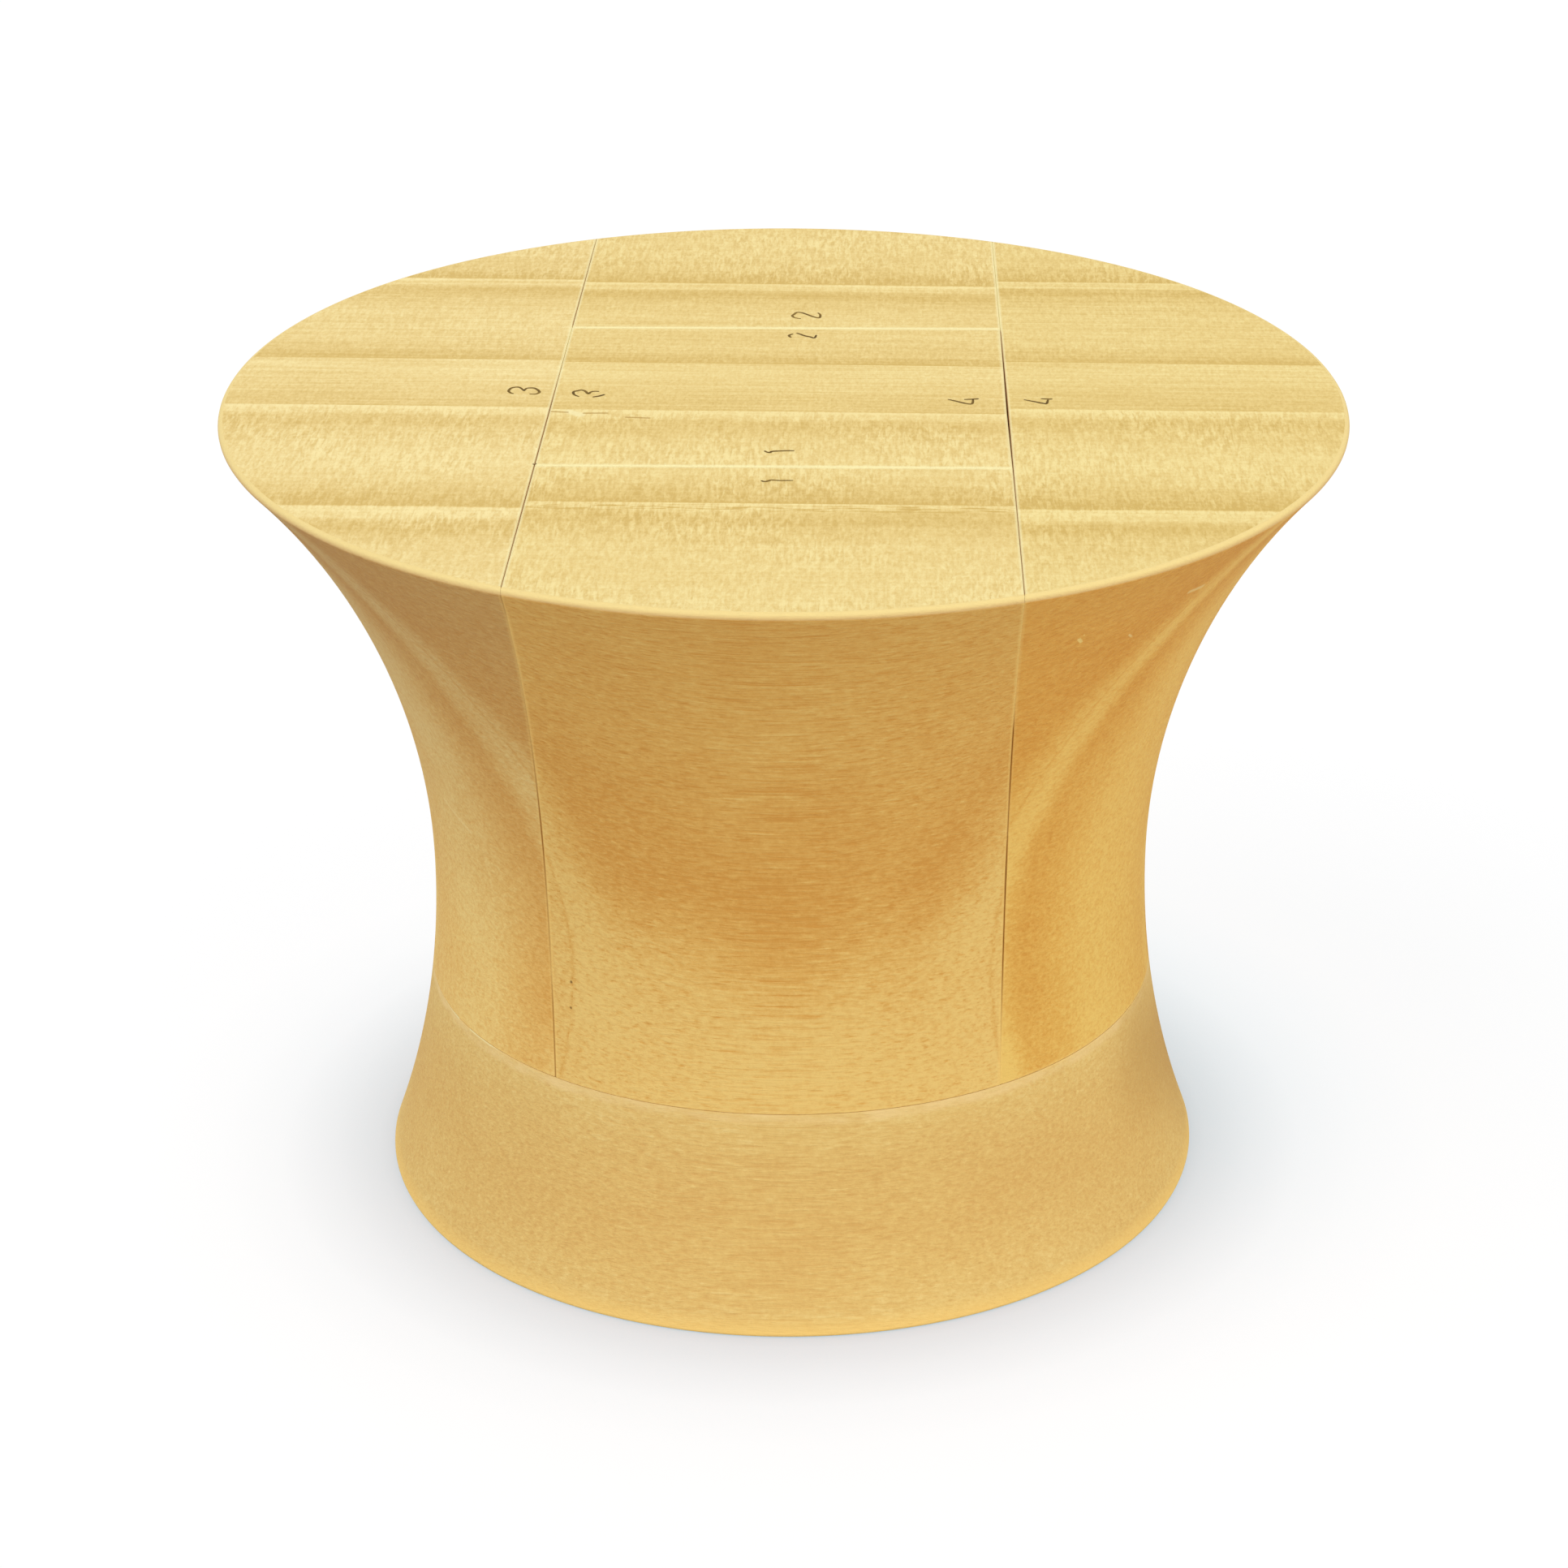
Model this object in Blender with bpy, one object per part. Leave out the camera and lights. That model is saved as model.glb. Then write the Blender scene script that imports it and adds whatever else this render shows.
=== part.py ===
"""Puzzle hat block for a flared top-hat crown.

A flared base carries five loose crown pieces on dowels: a centre key, a front, a back, a left and a
right piece. Base and crown were each glued up from five upright boards before they were shaped and
the crown was sawn apart, so each piece is a set of boards. X runs along the oval, -Y is the front,
Z is up, and the origin is the middle of the underside.
"""
import math

import bmesh
import bpy
from mathutils import Vector

# Overall form, in metres. The oval is longer than it is wide by the same amount at every level.
HEIGHT = 0.1983
TOP_LENGTH = 0.2495
WAIST_LENGTH = 0.1700
FOOT_LENGTH = 0.1998
LENGTH_OVER_WIDTH = 0.0315
WAIST_HEIGHT = 0.0853
OVAL_FULLNESS = 0.005
RIM_RADIUS = 0.0011
FOOT_RADIUS = 0.0008

# Base, and the gap under the crown pieces that stand on it.
BASE_HEIGHT = 0.0534
STANDING_GAP = 0.0003

# Saw cuts of the crown, as straight upright planes. A side cut lies at x + skew * y, a depth cut at
# y + skew * x, because the cuts run a touch out of square. The key is slack on its right side.
LEFT_CUT = -0.0518
LEFT_SKEW = 0.0037
RIGHT_CUT = 0.0488
RIGHT_SKEW = -0.0105
KEY_BACK_CUT = 0.0397
KEY_BACK_SKEW = 0.0208
KEY_FRONT_CUT = -0.03965
KEY_FRONT_SKEW = 0.011
CUT_STAND_BACK = 0.00015
KEY_RIGHT_STAND_BACK = 0.00035

# Boards of the two glued-up blanks, measured from front to back. The outermost boards are known by
# what the shaping left of them, at the waist in the crown and halfway up in the base.
BACK_INNER_BOARD = 0.0515
MIDDLE_BOARD = 0.0274
CROWN_BACK_BOARD = 0.00075
CROWN_FRONT_BOARD = 0.00455
BASE_BACK_BOARD = 0.0083
BASE_FRONT_BOARD = 0.0167
GLUE_LINE = 0.0001

# The saw took the width of its cuts away, so the crown pieces have closed up: each piece's glue lines
# lie this much further back than those of the back piece.
PIECE_SHIFTS = {"back": 0.0, "left": 0.0015, "right": 0.0035, "key": 0.0005, "front": 0.0065}

# Dowels, glued into the base. Each place is a distance from the cuts or from the middle.
DOWEL_RADIUS = 0.0050
DOWEL_IN_BASE = 0.0180
DOWEL_IN_CROWN = 0.0120
DOWEL_CHAMFER = 0.0010
DOWEL_FIT = 0.00025
DOWEL_END_GAP = 0.0003
SOCKET_END_GAP = 0.0010
END_DOWEL_FROM_CUT = 0.0125
END_DOWEL_SPREAD = 0.0320
SIDE_DOWEL_FROM_CUT = 0.0110
SIDE_DOWEL_SPREAD = 0.0280
KEY_DOWEL_SPREAD = 0.0300

# Socket in the underside for a block stand's spindle.
SPINDLE_RADIUS = 0.0080
SPINDLE_DEPTH = 0.0400

# Fineness of the curved faces.
OVAL_SIDES = 96
UPPER_STEPS = 12
LOWER_STEPS = 8
RIM_STEPS = 3
FOOT_STEPS = 2
DOWEL_SIDES = 16
SPINDLE_SIDES = 24
SNAP = 2e-6
SHARP_ANGLE = math.radians(35)

# Colours of the five boards and of the dowels, and the satin of the sanded wood.
BOARD_COLOURS = {
    "back": (0.71, 0.53, 0.21),
    "back_inner": (0.72, 0.53, 0.20),
    "middle": (0.75, 0.57, 0.22),
    "front_inner": (0.74, 0.56, 0.22),
    "front": (0.73, 0.54, 0.21),
}
DOWEL_COLOUR = (0.62, 0.44, 0.22)
WOOD_ROUGHNESS = 0.55

HALF_WAIST_LENGTH = WAIST_LENGTH / 2
HALF_WAIST_WIDTH = HALF_WAIST_LENGTH - LENGTH_OVER_WIDTH / 2
FOOT_REACH = FOOT_LENGTH / 2 - HALF_WAIST_LENGTH
TOP_REACH = TOP_LENGTH / 2 - HALF_WAIST_LENGTH
CROWN_FOOT = BASE_HEIGHT + STANDING_GAP

# A piece that holds every board names each after its own place.
ALL_BOARDS = {board: board for board in BOARD_COLOURS}


def clear_scene():
    """Remove whatever the scene holds."""
    for item in list(bpy.data.objects):
        bpy.data.objects.remove(item, do_unlink=True)


def wood(name, colour):
    """Plain sanded wood of one colour."""
    material = bpy.data.materials.new(name)
    material.use_nodes = True
    shader = material.node_tree.nodes["Principled BSDF"]
    shader.inputs["Base Color"].default_value = (*colour, 1.0)
    shader.inputs["Roughness"].default_value = WOOD_ROUGHNESS
    shader.inputs["Metallic"].default_value = 0.0
    return material


def hollow_radius(reach, rise, edge_radius):
    """Radius of the side's hollow arc, which leaves the waist upright and meets the round edge.

    The edge's outermost point is reach out from the waist, and its flat face is rise away from it.
    """
    out = reach - edge_radius
    up = rise - edge_radius
    return (out ** 2 + up ** 2 - edge_radius ** 2) / (2 * reach)


def flare(reach, rise, edge_radius, steps, edge_steps):
    """Half of the side outline, as (distance out from the waist, height from the waist) pairs."""
    out = reach - edge_radius
    up = rise - edge_radius
    radius = hollow_radius(reach, rise, edge_radius)
    lean = math.atan2(up, radius - out)
    points = []
    for step in range(steps):
        angle = lean * step / steps
        points.append((radius - radius * math.cos(angle), radius * math.sin(angle)))
    for step in range(edge_steps + 1):
        angle = -lean + (lean + math.pi / 2) * step / edge_steps
        points.append((out + edge_radius * math.cos(angle), up + edge_radius * math.sin(angle)))
    return points


def side_outline():
    """(half length, z) pairs from the flat underside up to the flat top."""
    lower = flare(FOOT_REACH, WAIST_HEIGHT, FOOT_RADIUS, LOWER_STEPS, FOOT_STEPS)
    upper = flare(TOP_REACH, HEIGHT - WAIST_HEIGHT, RIM_RADIUS, UPPER_STEPS, RIM_STEPS)
    outline = [(HALF_WAIST_LENGTH + out, WAIST_HEIGHT - away) for out, away in reversed(lower)]
    outline += [(HALF_WAIST_LENGTH + out, WAIST_HEIGHT + away) for out, away in upper[1:]]
    return outline


def half_width_below_waist(z):
    """Half of the block's width at a level between the foot and the waist."""
    radius = hollow_radius(FOOT_REACH, WAIST_HEIGHT, FOOT_RADIUS)
    away = WAIST_HEIGHT - z
    return HALF_WAIST_WIDTH + radius - math.sqrt(radius ** 2 - away ** 2)


def oval_point(half_length, z, turn):
    """Point of the oval at one level, a turn round from +X."""
    fullness = 1 + OVAL_FULLNESS * math.sin(2 * turn) ** 2
    half_width = half_length - LENGTH_OVER_WIDTH / 2
    return (half_length * math.cos(turn) * fullness, half_width * math.sin(turn) * fullness, z)


def skin_rings(mesh, rings):
    """Close a stack of rings, lowest first, into one solid."""
    for below, above in zip(rings, rings[1:]):
        for index in range(len(below)):
            after = (index + 1) % len(below)
            mesh.faces.new((below[index], below[after], above[after], above[index]))
    mesh.faces.new(list(reversed(rings[0])))
    mesh.faces.new(rings[-1])


def whole_block():
    """The block before any cut, as a lofted solid."""
    mesh = bmesh.new()
    rings = []
    for half_length, z in side_outline():
        turns = [2 * math.pi * index / OVAL_SIDES for index in range(OVAL_SIDES)]
        rings.append([mesh.verts.new(oval_point(half_length, z, turn)) for turn in turns])
    skin_rings(mesh, rings)
    return mesh


def side_cut(x, skew, side, stand_back):
    """Plane of a left-right saw cut: side is 1 to keep what lies at larger x, -1 for smaller x."""
    normal = Vector((side, -side * skew, 0)).normalized()
    return Vector((x, 0, 0)) + normal * stand_back, normal


def depth_cut(y, skew, side, stand_back):
    """Plane of a front-back saw cut: side is 1 to keep what lies at larger y, -1 for smaller y."""
    normal = Vector((-side * skew, side, 0)).normalized()
    return Vector((0, y, 0)) + normal * stand_back, normal


def level_cut(z, side):
    """Level plane: side is 1 to keep what lies above it, -1 for what lies below."""
    return Vector((0, 0, z)), Vector((0, 0, side))


def glue_lines(half_width, back_board, front_board, shift=0.0):
    """Back and front glue line of each board, where the outermost two lie inside a half width."""
    back_line = half_width - back_board + shift
    middle_back = back_line - BACK_INNER_BOARD
    middle_front = middle_back - MIDDLE_BOARD
    front_line = front_board - half_width + shift
    return {
        "back": (None, back_line),
        "back_inner": (back_line, middle_back),
        "middle": (middle_back, middle_front),
        "front_inner": (middle_front, front_line),
        "front": (front_line, None),
    }


def crown_glue_lines(piece):
    shift = PIECE_SHIFTS[piece]
    return glue_lines(HALF_WAIST_WIDTH, CROWN_BACK_BOARD, CROWN_FRONT_BOARD, shift)


def base_glue_lines():
    return glue_lines(half_width_below_waist(BASE_HEIGHT / 2), BASE_BACK_BOARD, BASE_FRONT_BOARD)


def board_cuts(lines):
    """Planes of a board's back and front glue line, where it has them."""
    back_line, front_line = lines
    cuts = []
    if back_line is not None:
        cuts.append(depth_cut(back_line, 0, -1, GLUE_LINE / 2))
    if front_line is not None:
        cuts.append(depth_cut(front_line, 0, 1, GLUE_LINE / 2))
    return cuts


def clip(mesh, cut):
    """Keep what lies on the side that the cut's normal points to, and close the cut face."""
    point, normal = cut
    everything = [*mesh.verts, *mesh.edges, *mesh.faces]
    bmesh.ops.bisect_plane(mesh, geom=everything, dist=SNAP, plane_co=point, plane_no=normal,
                           clear_inner=True)
    open_edges = [edge for edge in mesh.edges if edge.is_boundary]
    bmesh.ops.holes_fill(mesh, edges=open_edges, sides=0)


def add_turned(mesh, centre, profile, sides):
    """Add a round upright solid to a mesh, from (radius, z) pairs, lowest first."""
    rings = []
    for radius, z in profile:
        ring = []
        for index in range(sides):
            turn = 2 * math.pi * index / sides
            x = centre[0] + radius * math.cos(turn)
            y = centre[1] + radius * math.sin(turn)
            ring.append(mesh.verts.new((x, y, z)))
        rings.append(ring)
    skin_rings(mesh, rings)


def new_object(name, mesh, origin, parent=None):
    """Turn a mesh in world coordinates into an object whose origin is at the given point."""
    bmesh.ops.translate(mesh, vec=-origin, verts=mesh.verts)
    bmesh.ops.recalc_face_normals(mesh, faces=mesh.faces)
    data = bpy.data.meshes.new(name)
    mesh.to_mesh(data)
    mesh.free()
    data.shade_smooth()
    data.set_sharp_from_angle(angle=SHARP_ANGLE)
    item = bpy.data.objects.new(name, data)
    bpy.context.scene.collection.objects.link(item)
    item.parent = parent
    if parent is None:
        item.location = origin
    return item


def new_axis(name, place):
    """Empty on a crown piece's lifting axis, at the level of the base's top."""
    axis = bpy.data.objects.new(name, None)
    axis.location = (place[0], place[1], BASE_HEIGHT)
    axis.empty_display_size = DOWEL_IN_CROWN
    bpy.context.scene.collection.objects.link(axis)
    return axis


def dowel_places():
    """Centre of each dowel by name: two under each crown piece, clear of cuts and glue lines."""
    left = LEFT_CUT - END_DOWEL_FROM_CUT
    right = RIGHT_CUT + END_DOWEL_FROM_CUT
    front = KEY_FRONT_CUT - SIDE_DOWEL_FROM_CUT
    back = KEY_BACK_CUT + SIDE_DOWEL_FROM_CUT
    middle = sum(crown_glue_lines("key")["middle"]) / 2
    return {
        "dowel_left_back": (left, END_DOWEL_SPREAD),
        "dowel_left_front": (left, -END_DOWEL_SPREAD),
        "dowel_right_back": (right, END_DOWEL_SPREAD),
        "dowel_right_front": (right, -END_DOWEL_SPREAD),
        "dowel_back_left": (-SIDE_DOWEL_SPREAD, back),
        "dowel_back_right": (SIDE_DOWEL_SPREAD, back),
        "dowel_front_left": (-SIDE_DOWEL_SPREAD, front),
        "dowel_front_right": (SIDE_DOWEL_SPREAD, front),
        "dowel_key_left": (-KEY_DOWEL_SPREAD, middle),
        "dowel_key_right": (KEY_DOWEL_SPREAD, middle),
    }


def make_dowels():
    """Dowels with chamfered ends, standing in the base and up into the crown pieces."""
    foot = BASE_HEIGHT - DOWEL_IN_BASE
    head = BASE_HEIGHT + DOWEL_IN_CROWN
    narrow = DOWEL_RADIUS - DOWEL_CHAMFER
    profile = [(narrow, foot), (DOWEL_RADIUS, foot + DOWEL_CHAMFER),
               (DOWEL_RADIUS, head - DOWEL_CHAMFER), (narrow, head)]
    for name, place in dowel_places().items():
        mesh = bmesh.new()
        add_turned(mesh, place, profile, DOWEL_SIDES)
        dowel = new_object(name, mesh, Vector((*place, BASE_HEIGHT)))
        dowel.data.materials.append(wood(name, DOWEL_COLOUR))


def make_cutter(name, mesh):
    """Object that only cuts others."""
    cutter = new_object(name, mesh, Vector((0, 0, 0)))
    cutter.hide_render = True
    cutter.display_type = "WIRE"
    return cutter


def base_cutter():
    """Glued dowel holes in the base's top, and the spindle socket in its underside."""
    mesh = bmesh.new()
    hole_floor = BASE_HEIGHT - DOWEL_IN_BASE - DOWEL_END_GAP
    hole_radius = DOWEL_RADIUS + GLUE_LINE
    overshoot = BASE_HEIGHT + DOWEL_IN_CROWN
    for place in dowel_places().values():
        add_turned(mesh, place, [(hole_radius, hole_floor), (hole_radius, overshoot)], DOWEL_SIDES)
    spindle = [(SPINDLE_RADIUS, -SPINDLE_DEPTH), (SPINDLE_RADIUS, SPINDLE_DEPTH)]
    add_turned(mesh, (0, 0), spindle, SPINDLE_SIDES)
    return make_cutter("base_holes", mesh)


def crown_cutter():
    """Dowel sockets in the undersides of the crown pieces."""
    mesh = bmesh.new()
    socket_radius = DOWEL_RADIUS + DOWEL_FIT
    socket_roof = BASE_HEIGHT + DOWEL_IN_CROWN + SOCKET_END_GAP
    overshoot = BASE_HEIGHT - DOWEL_IN_CROWN
    for place in dowel_places().values():
        add_turned(mesh, place, [(socket_radius, overshoot), (socket_radius, socket_roof)], DOWEL_SIDES)
    return make_cutter("crown_sockets", mesh)


def make_boards(block, piece, boards, lines, cuts, cutter, origin, parent=None):
    """Cut one piece out of the block, as one object for each of its boards."""
    for board, place in boards.items():
        mesh = block.copy()
        for cut in [*cuts, *board_cuts(lines[board])]:
            clip(mesh, cut)
        name = f"{piece}_{place}_board"
        item = new_object(name, mesh, origin, parent)
        item.data.materials.append(wood(name, BOARD_COLOURS[board]))
        holes = item.modifiers.new("holes", "BOOLEAN")
        holes.operation = "DIFFERENCE"
        holes.solver = "EXACT"
        holes.object = cutter


def make_crown(block):
    """The five loose pieces, each on an empty that marks its lifting axis."""
    standing = level_cut(CROWN_FOOT, 1)
    between = [side_cut(LEFT_CUT, LEFT_SKEW, 1, CUT_STAND_BACK),
               side_cut(RIGHT_CUT, RIGHT_SKEW, -1, CUT_STAND_BACK)]
    key_sides = [side_cut(LEFT_CUT, LEFT_SKEW, 1, CUT_STAND_BACK),
                 side_cut(RIGHT_CUT, RIGHT_SKEW, -1, KEY_RIGHT_STAND_BACK),
                 depth_cut(KEY_BACK_CUT, KEY_BACK_SKEW, -1, CUT_STAND_BACK),
                 depth_cut(KEY_FRONT_CUT, KEY_FRONT_SKEW, 1, CUT_STAND_BACK)]
    pieces = {
        "left": (ALL_BOARDS, [side_cut(LEFT_CUT, LEFT_SKEW, -1, CUT_STAND_BACK)]),
        "right": (ALL_BOARDS, [side_cut(RIGHT_CUT, RIGHT_SKEW, 1, CUT_STAND_BACK)]),
        "back": ({"back": "outer", "back_inner": "inner"},
                 [*between, depth_cut(KEY_BACK_CUT, KEY_BACK_SKEW, 1, CUT_STAND_BACK)]),
        "front": ({"front_inner": "inner", "front": "outer"},
                  [*between, depth_cut(KEY_FRONT_CUT, KEY_FRONT_SKEW, -1, CUT_STAND_BACK)]),
        "key": ({"back_inner": "back", "middle": "middle", "front_inner": "front"}, key_sides),
    }
    cutter = crown_cutter()
    dowels = dowel_places()
    for piece, (boards, cuts) in pieces.items():
        places = [place for name, place in dowels.items() if name.startswith(f"dowel_{piece}_")]
        middle = [sum(place[axis] for place in places) / len(places) for axis in (0, 1)]
        lift_axis = new_axis(f"{piece}_piece", middle)
        origin = Vector((*middle, BASE_HEIGHT))
        lines = crown_glue_lines(piece)
        make_boards(block, piece, boards, lines, [standing, *cuts], cutter, origin, lift_axis)


def make_base(block):
    """The base, which stands on the origin's level and holds the dowels."""
    top = level_cut(BASE_HEIGHT, -1)
    make_boards(block, "base", ALL_BOARDS, base_glue_lines(), [top], base_cutter(), Vector((0, 0, 0)))


def main():
    clear_scene()
    block = whole_block()
    make_base(block)
    make_crown(block)
    make_dowels()
    block.free()


main()
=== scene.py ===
"""Looks of the puzzle hat block: finely shaped boards, glued-up wood, pencilled numbers, stage and light.

Each board is cut from one fine copy of the block, by the same planes as its solid, so it stands where its
solid stands. X runs along the oval, -Y is the front, Z is up. Lengths are metres, and millimetres inside
the wood's nodes.
"""

import math

import bmesh
import bpy
from mathutils import Matrix, Vector
from mathutils.bvhtree import BVHTree


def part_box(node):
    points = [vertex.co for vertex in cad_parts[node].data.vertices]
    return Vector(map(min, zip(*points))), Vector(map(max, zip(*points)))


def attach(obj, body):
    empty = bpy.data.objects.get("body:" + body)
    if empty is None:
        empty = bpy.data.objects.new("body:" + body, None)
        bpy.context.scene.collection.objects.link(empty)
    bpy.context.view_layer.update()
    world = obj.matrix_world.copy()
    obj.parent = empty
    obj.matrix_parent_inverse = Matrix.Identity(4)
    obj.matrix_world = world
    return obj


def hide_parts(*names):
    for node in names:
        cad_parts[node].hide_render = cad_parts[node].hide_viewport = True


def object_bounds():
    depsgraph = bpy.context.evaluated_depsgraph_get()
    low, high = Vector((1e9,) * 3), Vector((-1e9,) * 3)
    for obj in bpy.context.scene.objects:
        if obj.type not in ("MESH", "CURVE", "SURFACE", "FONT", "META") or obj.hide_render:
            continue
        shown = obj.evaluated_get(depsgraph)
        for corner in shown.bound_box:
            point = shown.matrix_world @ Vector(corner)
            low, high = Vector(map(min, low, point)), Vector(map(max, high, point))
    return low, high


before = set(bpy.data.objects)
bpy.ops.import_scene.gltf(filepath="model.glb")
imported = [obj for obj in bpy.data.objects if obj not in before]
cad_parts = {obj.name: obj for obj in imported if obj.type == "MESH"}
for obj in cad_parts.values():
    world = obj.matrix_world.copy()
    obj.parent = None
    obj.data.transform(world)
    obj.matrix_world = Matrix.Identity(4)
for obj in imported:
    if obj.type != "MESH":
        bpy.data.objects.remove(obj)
cad_low, cad_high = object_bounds()

MM = 0.001

# Form of the block, read from the frame where its solids give it.
HEIGHT = cad_high.z
TOP_LENGTH = cad_high.x - cad_low.x
LENGTH_OVER_WIDTH = TOP_LENGTH - (cad_high.y - cad_low.y)
FOOT_LENGTH = 2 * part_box("base_middle_board")[1].x
BASE_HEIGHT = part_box("base_middle_board")[1].z
CROWN_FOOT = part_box("key_middle_board")[0].z
WAIST_LENGTH = 0.1700
WAIST_HEIGHT = 0.0853
OVAL_FULLNESS = 0.005
RIM_RADIUS = 0.0011
FOOT_RADIUS = 0.0008

# Saw cuts of the crown: a side cut lies at x + skew * y, a depth cut at y + skew * x.
LEFT_CUT = -0.0518
LEFT_SKEW = 0.0037
RIGHT_CUT = 0.0488
RIGHT_SKEW = -0.0105
KEY_BACK_CUT = 0.0397
KEY_BACK_SKEW = 0.0208
KEY_FRONT_CUT = -0.03965
KEY_FRONT_SKEW = 0.011

# How far the sawn faces stand back from these planes where a cut is widest, and the gap of the level seam.
SIDE_STAND_BACK = 0.00011
KEY_RIGHT_STAND_BACK = 0.00039
DEPTH_STAND_BACK = 0.00004
SEAM_GAP = 0.00014
FRONT_MIDDLE = (LEFT_CUT + RIGHT_CUT) / 2

# Rounding of the worn arrises. Its extra edges lie at these distances from a sawn face.
ARRIS_RADIUS = 0.00028
ARRIS_EDGES = [ARRIS_RADIUS * (1 - math.sin(math.radians(turn))) for turn in (0, 30, 60)]
LEAST_INWARD = 0.3
WORN_AT_RADIUS = 0.65
FOOT_WEAR = 0.9
# How far the wear reaches from a cut's arris, and how strong it is there, by the kind of cut.
WORN_WIDTH = {"side": 0.00065, "depth": 0.00110, "level": 0.00070}
ARRIS_WEAR = {"side": 0.85, "depth": 1.0, "level": 0.30}
# Towards both ends of the oval the level cut's arris is more worn.
END_WEAR = 0.95
END_WEAR_REACH = (0.045, 0.060)

# Width of the two side cuts in millimetres: by y on the top and by z on the front. They close up in places.
TOP_GAPS = {
    "left": [(-97, 0.05), (-85, 0.05), (-70, 0.06), (-58, 0.07), (-44, 0.09), (-38, 0.07), (-10, 0.08),
             (17, 0.03), (39, 0.02), (41, 0.09), (68, 0.05), (109, 0.03)],
    "right": [(-97, 0.05), (-85, 0.04), (-58, 0.05), (-41, 0.07), (-38, 0.11), (-10, 0.34), (17, 0.18),
              (38, 0.07), (41, 0.02), (109, 0.02)],
}
FRONT_GAPS = {
    "left": [(54, 0.05), (72, 0.05), (80, 0.03), (90, 0.04), (100, 0.04), (110, 0.05), (120, 0.07),
             (130, 0.05), (140, 0.04), (150, 0.03), (185, 0.02), (195, 0.04)],
    "right": [(54, 0.02), (62, 0.02), (70, 0.03), (80, 0.05), (90, 0.08), (100, 0.06), (110, 0.12),
              (120, 0.05), (130, 0.05), (140, 0.07), (150, 0.09), (157, 0.03), (165, 0.02), (195, 0.02)],
}
BACK_GAP = 0.05
# Painted shade of an open cut, brown on the arrises beside it, begins where a side cut is as wide as the
# first of these, and is full from the second on.
SHADED_GAPS = (0.02, 0.06)
# How far the painted shade of an open cut reaches in from its arris.
GAP_SHADE_REACH = 0.00028
# Places along Y beside the key's corners, where the side cuts' widths jump.
KEY_CORNER_SCORES = (0.0410, 0.0385, -0.0385, -0.0410)

# Holes and dowel ends, where the solids don't give them.
DOWEL_FIT = 0.00025
DOWEL_GLUE = 0.0001
DOWEL_ROUNDING = 0.0010
DOWEL_END_TURNS = (0, 30, 60, 90)
SOCKET_END_GAP = 0.0010
SOCKET_RUN_OUT = 0.004
HOLE_END_GAP = 0.0003
SPINDLE_RADIUS = 0.0080
SPINDLE_DEPTH = 0.0400

# Fineness of the curved faces.
OVAL_SIDES = 288
UPPER_STEPS = 30
LOWER_STEPS = 20
RIM_STEPS = 6
FOOT_STEPS = 4
ROUND_SIDES = 48
ON_SKIN = 5e-6
SNAP = 1e-6
SHARP_ANGLE = math.radians(40)

# Kinds of surface, as material slots of a board.
SURFACES = ("top", "side", "sawn")
TOP, SIDE, SAWN = range(3)

HALF_WAIST = WAIST_LENGTH / 2
FOOT_REACH = FOOT_LENGTH / 2 - HALF_WAIST
TOP_REACH = TOP_LENGTH / 2 - HALF_WAIST

# Boards of each piece from back to front, with the layer of the blank that each was cut from.
LAYERS = ("back", "back_inner", "middle", "front_inner", "front")
PIECE_BOARDS = {
    "base": [(layer, layer) for layer in LAYERS],
    "left": [(layer, layer) for layer in LAYERS],
    "right": [(layer, layer) for layer in LAYERS],
    "back": [("outer", "back"), ("inner", "back_inner")],
    "front": [("inner", "front_inner"), ("outer", "front")],
    "key": [("back", "back_inner"), ("middle", "middle"), ("front", "front_inner")],
}


def body_of_piece(piece):
    return "base" if piece == "base" else f"{piece}_piece"


# Shape


def flare(reach, rise, edge_radius, steps, edge_steps):
    """Half of the side outline, as (distance out from the waist, height from the waist) pairs."""
    out = reach - edge_radius
    up = rise - edge_radius
    radius = (out ** 2 + up ** 2 - edge_radius ** 2) / (2 * reach)
    lean = math.atan2(up, radius - out)
    points = []
    for step in range(steps):
        angle = lean * step / steps
        points.append((radius - radius * math.cos(angle), radius * math.sin(angle)))
    for step in range(edge_steps + 1):
        angle = -lean + (lean + math.pi / 2) * step / edge_steps
        points.append((out + edge_radius * math.cos(angle), up + edge_radius * math.sin(angle)))
    return points


def side_outline():
    """(half length, z) pairs from the flat underside up to the flat top."""
    lower = flare(FOOT_REACH, WAIST_HEIGHT, FOOT_RADIUS, LOWER_STEPS, FOOT_STEPS)
    upper = flare(TOP_REACH, HEIGHT - WAIST_HEIGHT, RIM_RADIUS, UPPER_STEPS, RIM_STEPS)
    whole = [(out, -away) for out, away in reversed(lower)] + upper[1:]
    return [(HALF_WAIST + out, WAIST_HEIGHT + away) for out, away in whole]


def oval_point(half_length, z, turn):
    """Point of the oval at one level, a turn round from +X."""
    fullness = 1 + OVAL_FULLNESS * math.sin(2 * turn) ** 2
    half_width = half_length - LENGTH_OVER_WIDTH / 2
    return (half_length * math.cos(turn) * fullness, half_width * math.sin(turn) * fullness, z)


def turns_round(count):
    return [2 * math.pi * index / count for index in range(count)]


def skin_rings(mesh, rings, side, foot, top):
    """Close a stack of rings, lowest first, into one solid, with the kinds of its sides, foot and top."""
    for below, above in zip(rings, rings[1:]):
        for index in range(len(below)):
            after = (index + 1) % len(below)
            face = mesh.faces.new((below[index], below[after], above[after], above[index]))
            face.material_index = side
    mesh.faces.new(list(reversed(rings[0]))).material_index = foot
    mesh.faces.new(rings[-1]).material_index = top


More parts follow.
